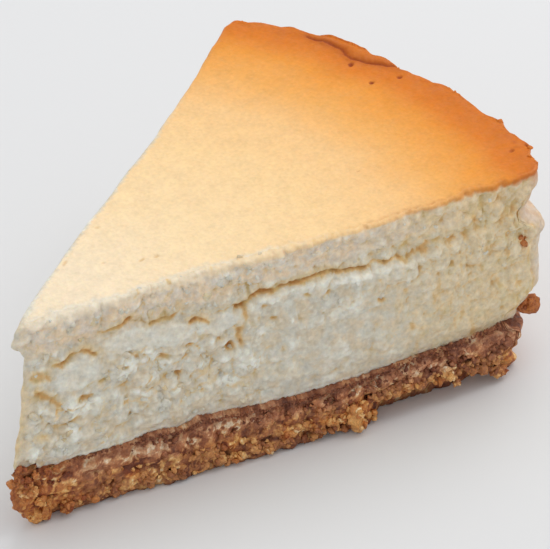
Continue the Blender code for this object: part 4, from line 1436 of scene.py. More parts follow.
@dataclass
class CrumbHeap:
    """Loose crumbs of one kind, gathered into one mesh."""

    name: str
    seed: int
    points: list[np.ndarray] = field(default_factory=list)
    faces: list[np.ndarray] = field(default_factory=list)
    tones: list[np.ndarray] = field(default_factory=list)
    count: int = 0
    sides: int = 7
    flatness: float = 1.0

    def __post_init__(self) -> None:
        """Prepare the heap's own random draw and its plain crumb shapes."""
        self.draw = np.random.RandomState(self.seed)
        self.shapes = {level: self._ball(level) for level in (1, 2, 3)}

    def _any_way(self) -> np.ndarray:
        """Draw a direction."""
        way = self.draw.normal(size=3)
        return way / np.linalg.norm(way)

    def _chipped(self, points: np.ndarray) -> np.ndarray:
        """Break flat sides off a round crumb."""
        for _ in range(self.sides):
            way = self._any_way()
            over = np.maximum(0.0, points @ way - self.draw.uniform(0.35, 0.75))
            points = points - over[:, None] * way
        return points

    def _ball(self, level: int) -> tuple[np.ndarray, np.ndarray]:
        """Make a plain round crumb.

        Args:
            level: How finely it is divided.

        Returns:
            Its points and faces.
        """
        shape = bmesh.new()
        bmesh.ops.create_icosphere(shape, subdivisions=level, radius=1.0)
        points = np.array([vertex.co[:] for vertex in shape.verts])
        faces = np.array([[vertex.index for vertex in face.verts] for face in shape.faces])
        shape.free()
        return points, faces

    def add(self, place: np.ndarray, radius: float, tone: float, level: int = 2, rough: float = 0.45,
            facing: np.ndarray | None = None) -> None:
        """Add one crumb.

        Args:
            place: Its middle.
            radius: Its radius.
            tone: Its tone, from 0 dark to 1 pale.
            level: How finely it is divided.
            rough: How uneven it is.
            facing: The way that its flat side faces, more or less, or none for any way.
        """
        points, faces = self.shapes[level]
        noise = SmoothNoise(self.draw.randint(1, 99999), 0.9, 3, 0.7)
        uneven = 1.0 + rough * noise.at(points[:, 0], points[:, 1], points[:, 2])
        stretch = self.draw.uniform(0.72, 1.25, 3) * np.array([1.0, 1.0, self.flatness])
        angle = self.draw.uniform(0.0, math.tau)
        turn = np.array(Matrix.Rotation(angle, 3, Vector(self.draw.normal(size=3))))
        if facing is not None:
            way = Vector(facing + 0.3 * self.draw.normal(size=3)).normalized()
            spin = Matrix.Rotation(self.draw.uniform(0.0, math.tau), 3, "Z")
            turn = np.array(way.to_track_quat("Z", "Y").to_matrix() @ spin)
        shaped = (self._chipped(points * uneven[:, None]) * stretch) @ turn.T * radius * 1.15 + place
        self.points.append(shaped)
        self.faces.append(faces + self.count)
        self.tones.append(np.full(len(points), tone) + 0.06 * self.draw.normal(size=len(points)))
        self.count += len(points)

    def add_clump(self, place: np.ndarray, radius: float, tone: float, pieces: int = 9) -> None:
        """Add a clump of crumbs.

        Args:
            place: Its middle.
            radius: Its radius.
            tone: Its mean tone.
            pieces: How many crumbs it has.
        """
        self.add(place, radius * 0.78, tone, 3, 0.5)
        for _ in range(pieces):
            way = self._any_way()
            size = radius * self.draw.uniform(0.28, 0.5)
            spot = place + way * radius * self.draw.uniform(0.45, 0.75)
            spot[2] = max(spot[2], size * 0.7 + 0.1)
            self.add(spot, size, tone + self.draw.uniform(-0.25, 0.25), 2, 0.5)

    def build(self, material: bpy.types.Material, finish: Callable | None = None) -> bpy.types.Object:
        """Build the heap as one piece.

        Args:
            material: The crumbs' material.
            finish: Turns the tones into the marks that the material reads, where not tone itself.

        Returns:
            The piece.
        """
        points = np.concatenate(self.points)
        points[:, 2] = np.maximum(points[:, 2], 0.05)
        tones = np.clip(np.concatenate(self.tones), 0.0, 1.0)
        marks = finish(tones) if finish else {"tone": tones, "hollow": np.zeros(len(tones))}
        return make_piece(self.name, points, list(np.concatenate(self.faces)), marks, material)


@dataclass
class TornCream:
    """The small curds and flakes that stand out of the near cut, its top edge and the rim."""

    filling: CreamFilling
    curd_count: int = 250
    left_share: float = 0.74
    fringe_count: int = 80
    rim_count: int = 36
    rim_bits: Profile = ((-12.4, 0.8), (-17.9, 0.7), (-19.6, 0.7), (-20.8, 0.6), (-15.2, 0.5), (-5.2, 0.5),
                         (8.6, 0.4))

    def build(self, material: bpy.types.Material) -> list[bpy.types.Object]:
        """Build the curds and flakes.

        Args:
            material: The cream's material.

        Returns:
            The pieces.
        """
        return [self._curds(material), self._skin_flakes(material)]

    def _curds(self, material: bpy.types.Material) -> bpy.types.Object:
        """Build the curds of the near cut: many at its left, fewer along its upper right."""
        heap = CrumbHeap("curds", 74, sides=3, flatness=0.5)
        draw = heap.draw
        count = self.curd_count
        at_left = draw.uniform(size=count) < self.left_share
        s = np.where(at_left, draw.uniform(2.0, 48.0, count), draw.uniform(46.0, 110.0, count))
        z = np.where(at_left, draw.uniform(14.6, 46.0, count), draw.uniform(28.0, 46.5, count))
        smeared = np.max([spot.share(s, z) for spot in self.filling.marks.smears], axis=0)
        cracked = np.min([distance_to_path(crack.path, s, z) for crack in self.filling.marks.cracks], axis=0)
        smeared = np.maximum(smeared, 1.0 - ease(0.8, 1.6, cracked))
        size = draw.uniform(0.4, 0.7, count) + 0.7 * draw.uniform(size=count) ** 3
        size = size * (1.0 - 0.35 * ease(46.0, 60.0, s))
        places = self.filling.near_places(s, z, -0.3 * size)
        facing = np.append(self.filling.outline.out(Wall.NEAR), 0.2)
        for place, share, radius in zip(places, smeared, size):
            if share < 0.3:
                heap.add(place, radius, draw.uniform(0.2, 0.8), 3, 0.7, facing)
        return heap.build(material, self._cut_marks)

    def _skin_flakes(self, material: bpy.types.Material) -> bpy.types.Object:
        """Build the ragged flakes along the top's near edge and the rim."""
        heap = CrumbHeap("skin_flakes", 75, sides=4, flatness=0.5)
        draw, filling = heap.draw, self.filling
        s = 3.0 + 68.0 * draw.uniform(size=self.fringe_count)
        from_top = draw.uniform(0.0, 2.4, self.fringe_count)
        rounding = 0.7 + along_profile(filling.edge_rounding, s)
        back, _ = filling.rolled(from_top, rounding)
        z = SLICE_HEIGHT - 0.45 - from_top
        facing = np.append(filling.outline.out(Wall.NEAR), 0.7)
        for place, along in zip(filling.near_places(s, z, -0.12 - back), s):
            warmth = 0.2 + 0.45 * share_at(40.0, 100.0, along)
            heap.add(place, draw.uniform(0.25, 0.55), warmth + draw.uniform(-0.1, 0.2), 2, 0.7, facing)
        bits = [(draw.uniform(-22.0, 22.0), draw.uniform(0.2, 0.4)) for _ in range(self.rim_count)]
        for degrees, size in tuple(bits) + self.rim_bits:
            turn = math.radians(degrees)
            sway = amount_at(filling.rim_sway, degrees) + amount_at(filling.lip, degrees)
            reach = filling.outline.radius + sway - 0.5
            place = np.array([reach * math.cos(turn), reach * math.sin(turn), SLICE_HEIGHT - 0.7])
            heap.add(place, size, draw.uniform(0.7, 0.9), 2, 0.7)
        return heap.build(material, self._edge_marks)

    @staticmethod
    def _cut_marks(tones: np.ndarray) -> dict[str, np.ndarray]:
        """Turn a curd's tone into marks: darker ones golden, lighter ones white."""
        none = np.zeros(len(tones))
        golden = 0.35 * (1.0 - ease(0.1, 0.5, tones))
        return {"stain": golden, "pale": 0.45 * ease(0.3, 0.9, tones), "skin": none, "band": none}

    @staticmethod
    def _edge_marks(tones: np.ndarray) -> dict[str, np.ndarray]:
        """Turn a flake's tone into marks: from cream at 0 to browned skin at 1."""
        none = np.zeros(len(tones))
        pale = 0.1 * (1.0 - ease(0.1, 0.5, tones))
        return {"stain": none, "pale": pale, "skin": ease(0.05, 0.85, tones), "band": none}


@dataclass
class LooseCrumbs:
    """The crumbs and clumps that stand out of the base and cling to the slice."""

    base: CrumbBase
    filling: CreamFilling
    near_count: int = 620
    far_count: int = 420
    rim_count: int = 300
    border_count: int = 420
    clumps: tuple[Clump, ...] = as_clumps(
        (1.6, 5.6, 0.1, 1.5, 0.65), (2.6, 9.4, 0.0, 1.4, 0.7), (1.2, 12.0, -0.1, 1.1, 0.55),
        (4.4, 11.4, 0.0, 1.2, 0.6), (2.4, 2.6, 0.1, 1.5, 0.75), (6.6, 5.0, 0.1, 1.2, 0.6),
        (4.6, 2.4, 0.5, 1.9, 0.6), (8.6, 2.3, 0.9, 1.7, 0.5), (13.0, 2.2, 0.1, 1.6, 0.55),
        (6.0, 8.8, 0.0, 1.3, 0.5), (17.0, 2.0, 0.2, 1.5, 0.5), (24.0, 1.9, 0.3, 1.7, 0.55),
        (31.0, 1.8, 0.2, 1.5, 0.5), (39.5, 2.0, 0.3, 1.6, 0.65), (43.4, 1.9, 0.4, 1.6, 0.7),
        (47.2, 2.6, 0.3, 1.5, 0.65), (50.4, 1.9, 0.5, 1.6, 0.7), (54.5, 2.4, 0.2, 1.4, 0.5),
        (60.6, 3.4, 0.3, 1.4, 0.6), (64.0, 4.2, 0.2, 1.6, 0.6), (66.6, 4.4, 0.3, 1.7, 0.7),
        (68.6, 4.6, 1.5, 2.2, 0.75), (69.8, 2.3, 2.0, 1.8, 0.75), (71.2, 5.6, 0.8, 1.5, 0.6),
        (75.0, 6.4, 0.2, 1.5, 0.5), (79.0, 6.8, 0.3, 1.6, 0.55), (81.4, 6.8, 0.3, 1.4, 0.6),
        (84.4, 6.4, 0.3, 1.5, 0.55), (89.6, 7.6, 0.2, 1.5, 0.75), (91.0, 5.8, 0.3, 1.4, 0.8),
        (92.2, 3.9, 0.3, 1.3, 0.7), (96.4, 5.4, 0.0, 1.6, 0.5), (99.2, 4.4, 0.0, 1.8, 0.5),
        (100.6, 6.8, 0.0, 1.6, 0.45), (102.6, 2.8, -0.4, 1.8, 0.55), (103.6, 5.8, -1.0, 1.7, 0.4),
        (104.2, 9.6, -1.2, 2.1, 0.32), (101.6, 9.6, -0.5, 1.8, 0.32), (105.2, 2.1, -0.8, 1.6, 0.5),
    )
    tip_clumps: tuple[tuple[float, float, float, float, float], ...] = (
        (-1.2, 0.0, 2.1, 2.0, 0.7), (1.6, -1.2, 2.0, 1.7, 0.5), (-3.8, 0.6, 7.0, 1.5, 0.6),
        (-3.4, 0.0, 10.0, 1.6, 0.45), (-2.4, 0.8, 4.8, 1.6, 0.5), (-4.0, -0.4, 13.0, 1.4, 0.3),
        (-3.0, -1.4, 12.2, 1.3, 0.35), (-2.2, -1.4, 9.2, 1.5, 0.7), (-4.4, -0.5, 15.2, 1.0, 0.3),
        (-1.6, -2.2, 13.4, 1.0, 0.5), (1.2, -2.8, 12.6, 1.1, 0.4), (3.2, -3.2, 12.4, 1.0, 0.5),
        (-3.6, -1.2, 15.6, 0.8, 0.3), (-0.4, -1.8, 6.0, 1.5, 0.6), (-3.0, 0.2, 8.2, 1.5, 0.7),
    )
    stuck_angle_deg: float = -21.2
    stuck_height: float = 14.6
    stuck_radius: float = 2.3
    stuck_reach: float = 110.7
    caught: tuple[tuple[float, float, float], ...] = (
        (109.7, 31.5, 1.0), (109.2, 33.0, 0.8), (110.3, 32.4, 0.6),
    )

    def build(self, material: bpy.types.Material) -> list[bpy.types.Object]:
        """Build the crumbs.

        Args:
            material: The crumbs' material.

        Returns:
            The pieces.
        """
        grains = CrumbHeap("base_grains", 71)
        clumps = CrumbHeap("base_clumps", 72)
        stuck = CrumbHeap("stuck_crumb", 73)
        self._near_grains(grains)
        self._far_and_outer_grains(grains)
        for clump in self.clumps:
            clumps.add_clump(self.base.near_place(clump.s, clump.z, clump.out), clump.radius, clump.tone)
        for x, y, z, radius, tone in self.tip_clumps:
            clumps.add_clump(np.array([x, y, z]), radius, tone)
        turn = math.radians(self.stuck_angle_deg)
        reach = self.stuck_reach
        place = np.array([reach * math.cos(turn), reach * math.sin(turn), self.stuck_height])
        stuck.add(place, self.stuck_radius, 0.42, 3, 0.5)
        stuck.add_clump(place, 0.82 * self.stuck_radius, 0.4, 9)
        for s, z, radius in self.caught:
            place = self.filling.near_places(np.array([s]), np.array([z]), np.array([-0.1 * radius]))[0]
            stuck.add(place, radius, 0.5, 2, 0.6)
        return [grains.build(material), clumps.build(material), stuck.build(material)]

    def _near_grains(self, heap: CrumbHeap) -> None:
        """Add the smaller crumbs of the near side and of its border with the cream."""
        for index in range(self.near_count):
            s = 1.0 + 103.0 * (index + heap.draw.uniform()) / self.near_count
            low = 1.0 if s < self.base.break_start else self.base.break_height
            border = float(BORDER.height(np.array(s)))
            z = low + (border - 0.9 - low) * heap.draw.uniform() ** 1.3
            upper = share_at(6.0, 9.0, z)
            tone = heap.draw.uniform(0.25, 0.85) - 0.25 * upper
            radius = heap.draw.uniform(0.35, 0.95) * (1.0 - 0.3 * upper)
            heap.add(self.base.near_place(s, z, 0.1), radius, tone, 2)
        for index in range(self.border_count):
            s = 3.0 + 101.0 * (index + heap.draw.uniform()) / self.border_count
            spilled = 0.2 + 0.8 * share_at(66.0, 92.0, s)
            z = float(BORDER.height(np.array(s))) + heap.draw.uniform(-0.7, spilled)
            heap.add(self.base.near_place(s, z, -0.3), heap.draw.uniform(0.2, 0.45),
                     heap.draw.uniform(0.0, 0.4), 1)

    def _far_and_outer_grains(self, heap: CrumbHeap) -> None:
        """Add the smaller crumbs of the far side and the outer side."""
        outline = self.base.outline
        for index in range(self.far_count):
            s = 2.0 + 106.0 * (index + heap.draw.uniform()) / self.far_count
            out = amount_at(self.base.far_sway, s) - 0.8
            flat = outline.along(Wall.FAR) * s + outline.out(Wall.FAR) * out
            z = 1.0 + 11.0 * heap.draw.uniform() ** 1.3
            flat[0] -= self.base.tip_inset(s, z)
            heap.add(np.array([flat[0], flat[1], z]), heap.draw.uniform(0.35, 1.0),
                     heap.draw.uniform(0.1, 0.8), 2)
        for index in range(self.rim_count):
            turn = math.radians(-18.0 + 40.0 * (index + heap.draw.uniform()) / self.rim_count)
            z = 0.8 + 11.4 * heap.draw.uniform()
            reach = outline.radius - 0.4 - float(self.base.inset(np.array(math.degrees(turn)), np.array(z)))
            place = np.array([reach * math.cos(turn), reach * math.sin(turn), z])
            heap.add(place, heap.draw.uniform(0.3, 0.9), heap.draw.uniform(0.1, 0.7), 2)


class NodeTree:
    """A shader node tree with short ways to add and join nodes."""

    def __init__(self, tree: bpy.types.NodeTree) -> None:
        """Take hold of a tree."""
        self.tree = tree

    def add(self, kind: str, **values: object) -> bpy.types.Node:
        """Add a node.

        Args:
            kind: The node's type.
            **values: Its properties.

        Returns:
            The node.
        """
        node = self.tree.nodes.new(kind)
        for key, value in values.items():
            setattr(node, key, value)
        return node

    def join(self, source: bpy.types.NodeSocket, target: bpy.types.NodeSocket) -> None:
        """Join an output to an input."""
        self.tree.links.new(source, target)

    def feed(self, target: bpy.types.NodeSocket, value: object) -> None:
        """Set an input to a value, or join it where the value is an output."""
        if isinstance(value, bpy.types.NodeSocket):
            self.join(value, target)
        else:
            target.default_value = value

    def place(self) -> bpy.types.NodeSocket:
        """Give the place on the object in millimetres."""
        place = self.add("ShaderNodeTexCoord").outputs["Object"]
        scale = self.add("ShaderNodeVectorMath", operation="SCALE")
        self.join(place, scale.inputs[0])
        scale.inputs["Scale"].default_value = 1.0 / MM
        return scale.outputs["Vector"]

    def noise(self, place: bpy.types.NodeSocket, size: float, detail: float = 3.0,
              rough: float = 0.55) -> bpy.types.NodeSocket:
        """Add noise of a size in millimetres.

        Args:
            place: The place in millimetres.
            size: The noise's size.
            detail: How many finer layers it has.
            rough: How strong they are.

        Returns:
            The noise, about 0.5 on average.
        """
        node = self.add("ShaderNodeTexNoise")
        self.join(place, node.inputs["Vector"])
        self.preset(node, Scale=1.0 / size, Detail=detail, Roughness=rough)
        return node.outputs["Fac"]

    def math(self, operation: str, first: object, second: object = 0.0,
             clamp: bool = False) -> bpy.types.NodeSocket:
        """Add a sum.

        Args:
            operation: What it does.
            first: Its first value or output.
            second: Its second value or output.
            clamp: True to hold the result between 0 and 1.

        Returns:
            Its result.
        """
        node = self.add("ShaderNodeMath", operation=operation, use_clamp=clamp)
        self.feed(node.inputs[0], first)
        self.feed(node.inputs[1], second)
        return node.outputs[0]

    def swing(self, noise: bpy.types.NodeSocket, amount: object) -> bpy.types.NodeSocket:
        """Centre noise on 0 and scale it by an amount."""
        return self.math("MULTIPLY", self.math("SUBTRACT", noise, 0.5), amount)

    def preset(self, node: bpy.types.Node, **values: object) -> None:
        """Set inputs of a node, named with _ for each space."""
        for key, value in values.items():
            node.inputs[key.replace("_", " ")].default_value = value

    def mottled(self, group: bpy.types.NodeTree, colour: bpy.types.NodeSocket,
                **values: float) -> bpy.types.NodeSocket:
        """Mottle a colour.

        Args:
            group: The mottling group.
            colour: The colour.
            **values: The group's sizes and amounts.

        Returns:
            The mottled colour.
        """
        node = self.add("ShaderNodeGroup", node_tree=group)
        self.join(colour, node.inputs["Colour"])
        self.preset(node, **values)
        return node.outputs["Colour"]

    def finish(self, shader: bpy.types.Node, colour: bpy.types.NodeSocket, height: bpy.types.NodeSocket,
               rough: bpy.types.NodeSocket, **bump: float) -> None:
        """Join a finish to its shader.

        Args:
            shader: The Principled shader.
            colour: The base colour.
            height: What the bump is made from.
            rough: The roughness.
            **bump: The bump's distance and strength.
        """
        node = self.add("ShaderNodeBump")
        self.preset(node, **bump)
        self.join(height, node.inputs["Height"])
        joins = {"Base Color": colour, "Normal": node.outputs["Normal"], "Roughness": rough}
        for key, value in joins.items():
            self.join(value, shader.inputs[key])

    def ramp(self, value: bpy.types.NodeSocket, low: float, high: float, start: float = 0.0,
             end: float = 1.0) -> bpy.types.NodeSocket:
        """Map a value from one range to another, held at both ends.

        Args:
            value: The value.
            low: Where the range begins.
            high: Where it ends.
            start: The result at its beginning.
            end: The result at its end.

        Returns:
            The mapped value.
        """
        node = self.add("ShaderNodeMapRange", interpolation_type="SMOOTHSTEP")
        self.join(value, node.inputs["Value"])
        self.preset(node, From_Min=low, From_Max=high, To_Min=start, To_Max=end)
        return node.outputs["Result"]

    def mix(self, share: object, first: object, second: object, blend: str = "MIX") -> bpy.types.NodeSocket:
        """Mix two colours.

        Args:
            share: How much of the second.
            first: The first colour or output.
            second: The second colour or output.
            blend: How they blend.

        Returns:
            The mixed colour.
        """
        node = self.add("ShaderNodeMix", data_type="RGBA", blend_type=blend)
        self.feed(node.inputs[0], share)
        for index, value in ((6, first), (7, second)):
            self.feed(node.inputs[index], (*value, 1.0) if isinstance(value, tuple) else value)
        return node.outputs[2]

    def mark(self, name: str) -> bpy.types.NodeSocket:
        """Read a mark that the mesh carries."""
        return self.add("ShaderNodeAttribute", attribute_name=name).outputs["Fac"]

    def colours(self, value: bpy.types.NodeSocket, stops: Stops) -> bpy.types.NodeSocket:
        """Turn a value into a colour by a ramp.

        Args:
            value: The value.
            stops: Places from 0 to 1 and their colours.

        Returns:
            The colour.
        """
        node = self.add("ShaderNodeValToRGB")
        band = node.color_ramp
        band.interpolation = "EASE" if len(stops) < 3 else "LINEAR"
        while len(band.elements) < len(stops):
            band.elements.new(0.5)
        for element, (place, colour) in zip(band.elements, stops):
            element.position = place
            element.color = (*colour, 1.0)
        self.join(value, node.inputs["Fac"])
        return node.outputs["Color"]


def mottle_group() -> bpy.types.NodeTree:
    """Make the group that mottles a colour, lighter and darker, at a coarse and a fine size.

    Returns:
        The node group, with the mottled colour and a fine height as outputs.
    """
    group = bpy.data.node_groups.new("Mottle", "ShaderNodeTree")
    face = group.interface
    face.new_socket("Colour", in_out="INPUT", socket_type="NodeSocketColor")
    for name in ("Coarse size", "Fine size", "Coarse amount", "Fine amount"):
        face.new_socket(name, in_out="INPUT", socket_type="NodeSocketFloat").default_value = 1.0
    face.new_socket("Colour", in_out="OUTPUT", socket_type="NodeSocketColor")
    face.new_socket("Height", in_out="OUTPUT", socket_type="NodeSocketFloat")
    net = NodeTree(group)
    given, result = net.add("NodeGroupInput"), net.add("NodeGroupOutput")
    place = net.place()
    total = None
    fine = None
    for size, amount in (("Coarse size", "Coarse amount"), ("Fine size", "Fine amount")):
        node = net.add("ShaderNodeTexNoise")
        net.join(place, node.inputs["Vector"])
        net.join(net.math("DIVIDE", 1.0, given.outputs[size]), node.inputs["Scale"])
        node.inputs["Detail"].default_value = 3.0
        swing = net.swing(node.outputs["Fac"], given.outputs[amount])
        total = swing if total is None else net.math("ADD", total, swing)
        fine = node.outputs["Fac"]
    factor = net.math("ADD", net.math("MULTIPLY", total, 2.0), 1.0)
    scaled = net.add("ShaderNodeVectorMath", operation="SCALE")
    net.join(given.outputs["Colour"], scaled.inputs[0])
    net.join(factor, scaled.inputs["Scale"])
    net.join(scaled.outputs["Vector"], result.inputs["Colour"])
    net.join(fine, result.inputs["Height"])
    return group


@dataclass(frozen=True)
class CreamFinish:
    """Baked cream: pale and curdled where it is cut, browned by its distance from the tip on top."""

    cut: Colour = linear(217, 213, 199)
    cut_warm: Colour = linear(221, 206, 180)
    band: Colour = linear(238, 213, 180)
    band_cool: Colour = linear(224, 211, 194)
    white: Colour = linear(242, 242, 231)
    # Colours for the stain mark: real tan patches, and painted shade in the cracks, pits and seams.
    stain_and_shade_colours: Stops = as_stops(
        (0.00, 228, 212, 180), (0.30, 228, 204, 160), (0.60, 220, 181, 124), (1.00, 200, 145, 82),
    )
    olive: Colour = linear(204, 186, 130)
    top_colours: Stops = as_stops(
        (0.00, 244, 226, 196), (0.18, 246, 225, 192), (0.40, 247, 217, 170), (0.60, 246, 208, 152),
        (0.72, 243, 196, 134), (0.82, 238, 173, 92), (0.90, 232, 150, 54), (0.955, 218, 122, 24),
        (1.00, 208, 112, 18),
    )
    browned_mark: Colour = linear(152, 62, 0)
    golden_mark: Colour = linear(206, 160, 84)
    roughness: float = 0.55
    specular: float = 0.28
    subsurface: float = 0.2

    def build(self, mottle: bpy.types.NodeTree, radius: float) -> bpy.types.Material:
        """Make the material.

        Args:
            mottle: The mottling group.
            radius: The cake's radius.

        Returns:
            The material.
        """
        material = bpy.data.materials.new("baked_cream")
        material.use_nodes = True
        net = NodeTree(material.node_tree)
        shader = material.node_tree.nodes["Principled BSDF"]
        place = net.place()
        skin, stain, pale = net.mark("skin"), net.mark("stain"), net.mark("pale")
        warm = net.ramp(net.noise(place, 3.0, 3.0), 0.36, 0.66)
        cut = net.mix(warm, self.cut, self.cut_warm)
        cool = net.ramp(net.noise(place, 2.6, 3.0), 0.40, 0.60)
        cut = net.mix(net.mark("band"), cut, net.mix(cool, self.band, self.band_cool))
        speckle = net.ramp(net.noise(place, 0.7, 3.0, 0.6), 0.52, 0.72)
        # The pale mark paints white curds, and painted highlights on the peaks and the ledge's lip.
        cut = net.mix(pale, cut, self.white)
        # The stain mark paints real tan patches, and painted shade in the cracks, pits and seams.
        shown = net.math("ADD", stain, net.math("MULTIPLY", speckle, 0.12), True)
        olive = net.ramp(net.noise(place, 3.4, 1.0), 0.52, 0.66, 0.0, 0.4)
        stain_and_shade_colour = net.mix(olive, net.colours(shown, self.stain_and_shade_colours), self.olive)
        cut = net.mix(net.ramp(shown, 0.0, 0.45), cut, stain_and_shade_colour)
        away = net.add("ShaderNodeVectorMath", operation="DISTANCE")
        flat = net.add("ShaderNodeVectorMath", operation="MULTIPLY")
        net.join(place, flat.inputs[0])
        flat.inputs[1].default_value = (1.0, 1.0, 0.0)
        net.join(flat.outputs["Vector"], away.inputs[0])
        away.inputs[1].default_value = (-FOOTPRINT_CENTRE[0], -FOOTPRINT_CENTRE[1], 0.0)
        wander = net.swing(net.noise(place, 16.0, 3.0), 9.0)
        share = net.math("DIVIDE", net.math("ADD", away.outputs["Value"], wander), radius, True)
        top = net.colours(share, self.top_colours)
        top = net.mix(stain, top, net.mix(net.ramp(share, 0.45, 0.8), self.golden_mark, self.browned_mark))
        top = net.mottled(mottle, top, Coarse_size=4.0, Fine_size=0.8, Coarse_amount=0.11, Fine_amount=0.13)
        cut = net.mottled(mottle, cut, Coarse_size=2.4, Fine_size=1.0, Coarse_amount=0.2, Fine_amount=0.28)
        colour = net.mix(skin, cut, top)
        height = net.add("ShaderNodeMix", data_type="FLOAT")
        net.join(skin, height.inputs[0])
        curdy = net.math("ADD", net.noise(place, 0.9, 2.0, 0.5), net.noise(place, 2.2, 2.0))
        net.join(curdy, height.inputs[2])
        net.join(net.math("MULTIPLY", net.noise(place, 1.3, 2.0, 0.5), 1.1), height.inputs[3])
        rough = net.ramp(net.noise(place, 2.5, 2.0), 0.3, 0.7, self.roughness - 0.08, self.roughness + 0.12)
        net.finish(shader, colour, height.outputs[0], rough, Distance=0.0003, Strength=0.9)
        net.preset(shader, Specular_IOR_Level=self.specular, Subsurface_Weight=self.subsurface,
                   Subsurface_Radius=(1.0, 0.7, 0.4), Subsurface_Scale=0.0015)
        return material


@dataclass(frozen=True)
class CrumbFinish:
    """Pressed biscuit crumbs: dark and reddish in the upper band, golden below, with pale flecks."""

    tones: Stops = as_stops(
        (0.00, 100, 48, 26), (0.28, 140, 82, 48), (0.50, 174, 112, 68), (0.72, 206, 144, 84),
        (0.90, 236, 186, 118), (1.00, 244, 216, 172),
    )
    band_tones: Stops = as_stops(
        (0.00, 104, 52, 32), (0.35, 154, 94, 62), (0.60, 190, 128, 92), (0.85, 220, 172, 132),
        (1.00, 240, 216, 188),
    )
    rust_tones: Stops = as_stops(
        (0.00, 110, 44, 12), (0.30, 158, 78, 30), (0.60, 206, 128, 58), (0.85, 240, 184, 108),
        (1.00, 248, 222, 176),
    )
    # Painted shade for the crumbs' hollows, the base's foot and its undercut.
    hollow: Colour = linear(88, 38, 12)
    roughness: float = 0.62
    upper_band: Range = (6.4, 9.4)
    lower_band: Range = (5.0, 9.0)
    raised: Range = (13.0, 13.8)
    tip: Range = (-52.0, -44.0)
    corner: Range = (38.0, 47.0)

    def build(self, mottle: bpy.types.NodeTree) -> bpy.types.Material:
        """Make the material.

        Args:
            mottle: The mottling group.

        Returns:
            The material.
        """
        material = bpy.data.materials.new("biscuit_crumb")
        material.use_nodes = True
        net = NodeTree(material.node_tree)
        shader = material.node_tree.nodes["Principled BSDF"]
        place = net.place()
        tone, hollow = net.mark("tone"), net.mark("hollow")
        fine = net.swing(net.noise(place, 0.5, 3.0, 0.7), 0.5)
        shown = net.math("ADD", tone, fine, True)
        level = net.add("ShaderNodeSeparateXYZ")
        net.join(place, level.inputs[0])
        wander = net.swing(net.noise(place, 5.0, 2.0), 5.0)
        height = net.math("ADD", level.outputs["Z"], wander)
        upper = net.ramp(height, *self.upper_band, 0.0, 0.9)
        colour = net.mix(upper, net.colours(shown, self.tones), net.colours(shown, self.band_tones))
        rust = net.ramp(net.noise(place, 5.5, 3.0), 0.50, 0.62, 0.0, 0.8)
        at_tip = net.ramp(level.outputs["X"], *self.tip, 0.75, 0.0)
        lower = net.ramp(height, *self.lower_band, 1.0, 0.25)
        raised = net.ramp(level.outputs["Z"], *self.raised)
        at_corner = net.ramp(level.outputs["X"], *self.corner, 0.0, 0.85)
        low_or_raised = net.math("MAXIMUM", net.math("SUBTRACT", lower, 0.25), raised)
        at_corner = net.math("MULTIPLY", at_corner, low_or_raised)
        rust = net.math("MAXIMUM", net.math("MULTIPLY", rust, lower), net.math("MAXIMUM", at_tip, at_corner))
        colour = net.mix(rust, colour, net.colours(shown, self.rust_tones))
        # Painted shade where the hollow mark is set.
        colour = net.mix(net.math("MULTIPLY", hollow, 0.75), colour, self.hollow)
        colour = net.mottled(mottle, colour, Coarse_size=3.0, Fine_size=0.35, Coarse_amount=0.25,
                             Fine_amount=0.5)
        rough = net.ramp(net.noise(place, 0.9, 2.0), 0.35, 0.7, self.roughness - 0.2, self.roughness + 0.25)
        height = net.noise(place, 0.45, 3.0, 0.7)
        net.finish(shader, colour, height, rough, Distance=0.00025, Strength=0.8)
        net.preset(shader, Subsurface_Weight=0.08, Subsurface_Radius=(1.0, 0.5, 0.25),
                   Subsurface_Scale=0.0008)
        return material


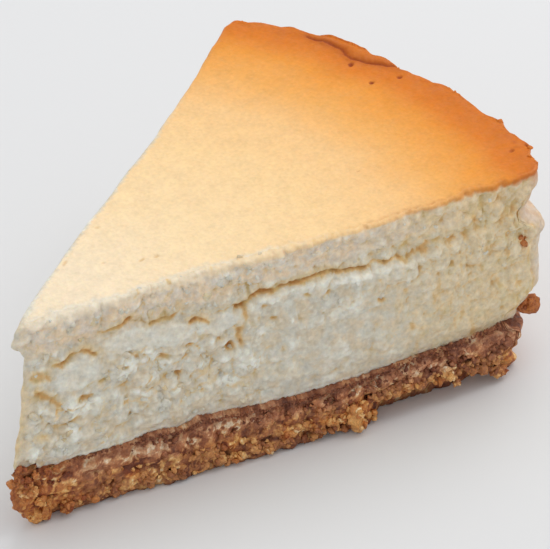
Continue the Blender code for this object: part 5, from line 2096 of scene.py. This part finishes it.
@dataclass(frozen=True)
class Studio:
    """The pale floor, the soft light and the camera."""

    floor_colour: Colour = (0.76, 0.765, 0.775)
    azimuth_deg: float = -43.35
    elevation_deg: float = 35.35
    roll_deg: float = -4.22
    distance: float = 1.7473
    view_deg: float = 3.71
    target: tuple[float, float, float] = (72.6, 2.1, 20.0)
    world_strength: float = 0.7
    key_power: float = 5.2
    key_size: float = 1.1
    key_place: tuple[float, float, float] = (0.5, 0.0, 0.9)

    def build(self) -> None:
        """Build the floor, the lights and the camera."""
        self._floor()
        self._lights()
        self._camera()

    def _floor(self) -> None:
        """Lay the floor."""
        mesh = bpy.data.meshes.new("floor")
        shape = bmesh.new()
        bmesh.ops.create_grid(shape, x_segments=1, y_segments=1, size=3.0)
        shape.to_mesh(mesh)
        shape.free()
        floor = bpy.data.objects.new("floor", mesh)
        bpy.context.scene.collection.objects.link(floor)
        material = bpy.data.materials.new("pale_floor")
        material.use_nodes = True
        shader = material.node_tree.nodes["Principled BSDF"]
        shader.inputs["Base Color"].default_value = (*self.floor_colour, 1.0)
        shader.inputs["Roughness"].default_value = 0.9
        shader.inputs["Specular IOR Level"].default_value = 0.1
        mesh.materials.append(material)

    def _lights(self) -> None:
        """Set up the world and the large soft key light."""
        scene = bpy.context.scene
        world = bpy.data.worlds.new("soft_room")
        world.use_nodes = True
        sky = world.node_tree.nodes["Background"]
        sky.inputs["Color"].default_value = (1.0, 1.0, 1.0, 1.0)
        sky.inputs["Strength"].default_value = self.world_strength
        scene.world = world
        key = bpy.data.lights.new("key", "AREA")
        key.energy = self.key_power
        key.shape = "DISK"
        key.size = self.key_size
        holder = bpy.data.objects.new("key", key)
        holder.location = self.key_place
        towards = Vector((0.0, 0.0, 0.02)) - holder.location
        holder.rotation_euler = towards.to_track_quat("-Z", "Y").to_euler()
        scene.collection.objects.link(holder)
        scene.view_settings.view_transform = "Standard"

    def _camera(self) -> None:
        """Place the camera at the photograph's viewing angle."""
        azimuth, elevation, roll = (
            math.radians(value) for value in (self.azimuth_deg, self.elevation_deg, self.roll_deg))
        back = Vector((math.sin(azimuth) * math.cos(elevation), -math.cos(azimuth) * math.cos(elevation),
                       math.sin(elevation)))
        target = (Vector(self.target) - Vector(FOOTPRINT_CENTRE)) * MM
        right = (-back).cross(Vector((0.0, 0.0, 1.0))).normalized()
        up = right.cross(-back)
        turned_right = right * math.cos(roll) + up * math.sin(roll)
        turned_up = up * math.cos(roll) - right * math.sin(roll)
        camera = bpy.data.cameras.new("camera")
        camera.sensor_width = 36.0
        camera.lens = 18.0 / math.tan(math.radians(self.view_deg) / 2)
        camera.clip_start, camera.clip_end = 0.1, 20.0
        holder = bpy.data.objects.new("camera", camera)
        placed = Matrix.Identity(4)
        for row in range(3):
            placed[row][0], placed[row][1], placed[row][2] = turned_right[row], turned_up[row], back[row]
            placed[row][3] = (target + back * self.distance)[row]
        holder.matrix_world = placed
        bpy.context.scene.collection.objects.link(holder)
        bpy.context.scene.camera = holder


def settle(piece: bpy.types.Object, node: str) -> None:
    """Hang a piece on the root body, hide the node that it stands for, and log its triangle count.

    Args:
        piece: The piece.
        node: The node's name.
    """
    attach(piece, "root")
    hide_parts(node)
    piece.data.calc_loop_triangles()
    log.info("%s: %d triangles", piece.name, len(piece.data.loop_triangles))


def main() -> None:
    """Build the slice and its stage."""
    logging.basicConfig(level=logging.INFO, format="%(name)s %(message)s")
    mottle = mottle_group()
    filling = CreamFilling()
    cream = CreamFinish().build(mottle, filling.outline.radius)
    crumb = CrumbFinish().build(mottle)
    settle(filling.build(cream), "filling")
    base = CrumbBase()
    settle(base.build_core(crumb), "crumb_base")
    for piece in TornCream(filling).build(cream):
        settle(piece, "filling")
    for piece in LooseCrumbs(base, filling).build(crumb):
        settle(piece, "filling" if piece.name == "stuck_crumb" else "crumb_base")
    Studio().build()


if __name__ == "__main__":
    main()
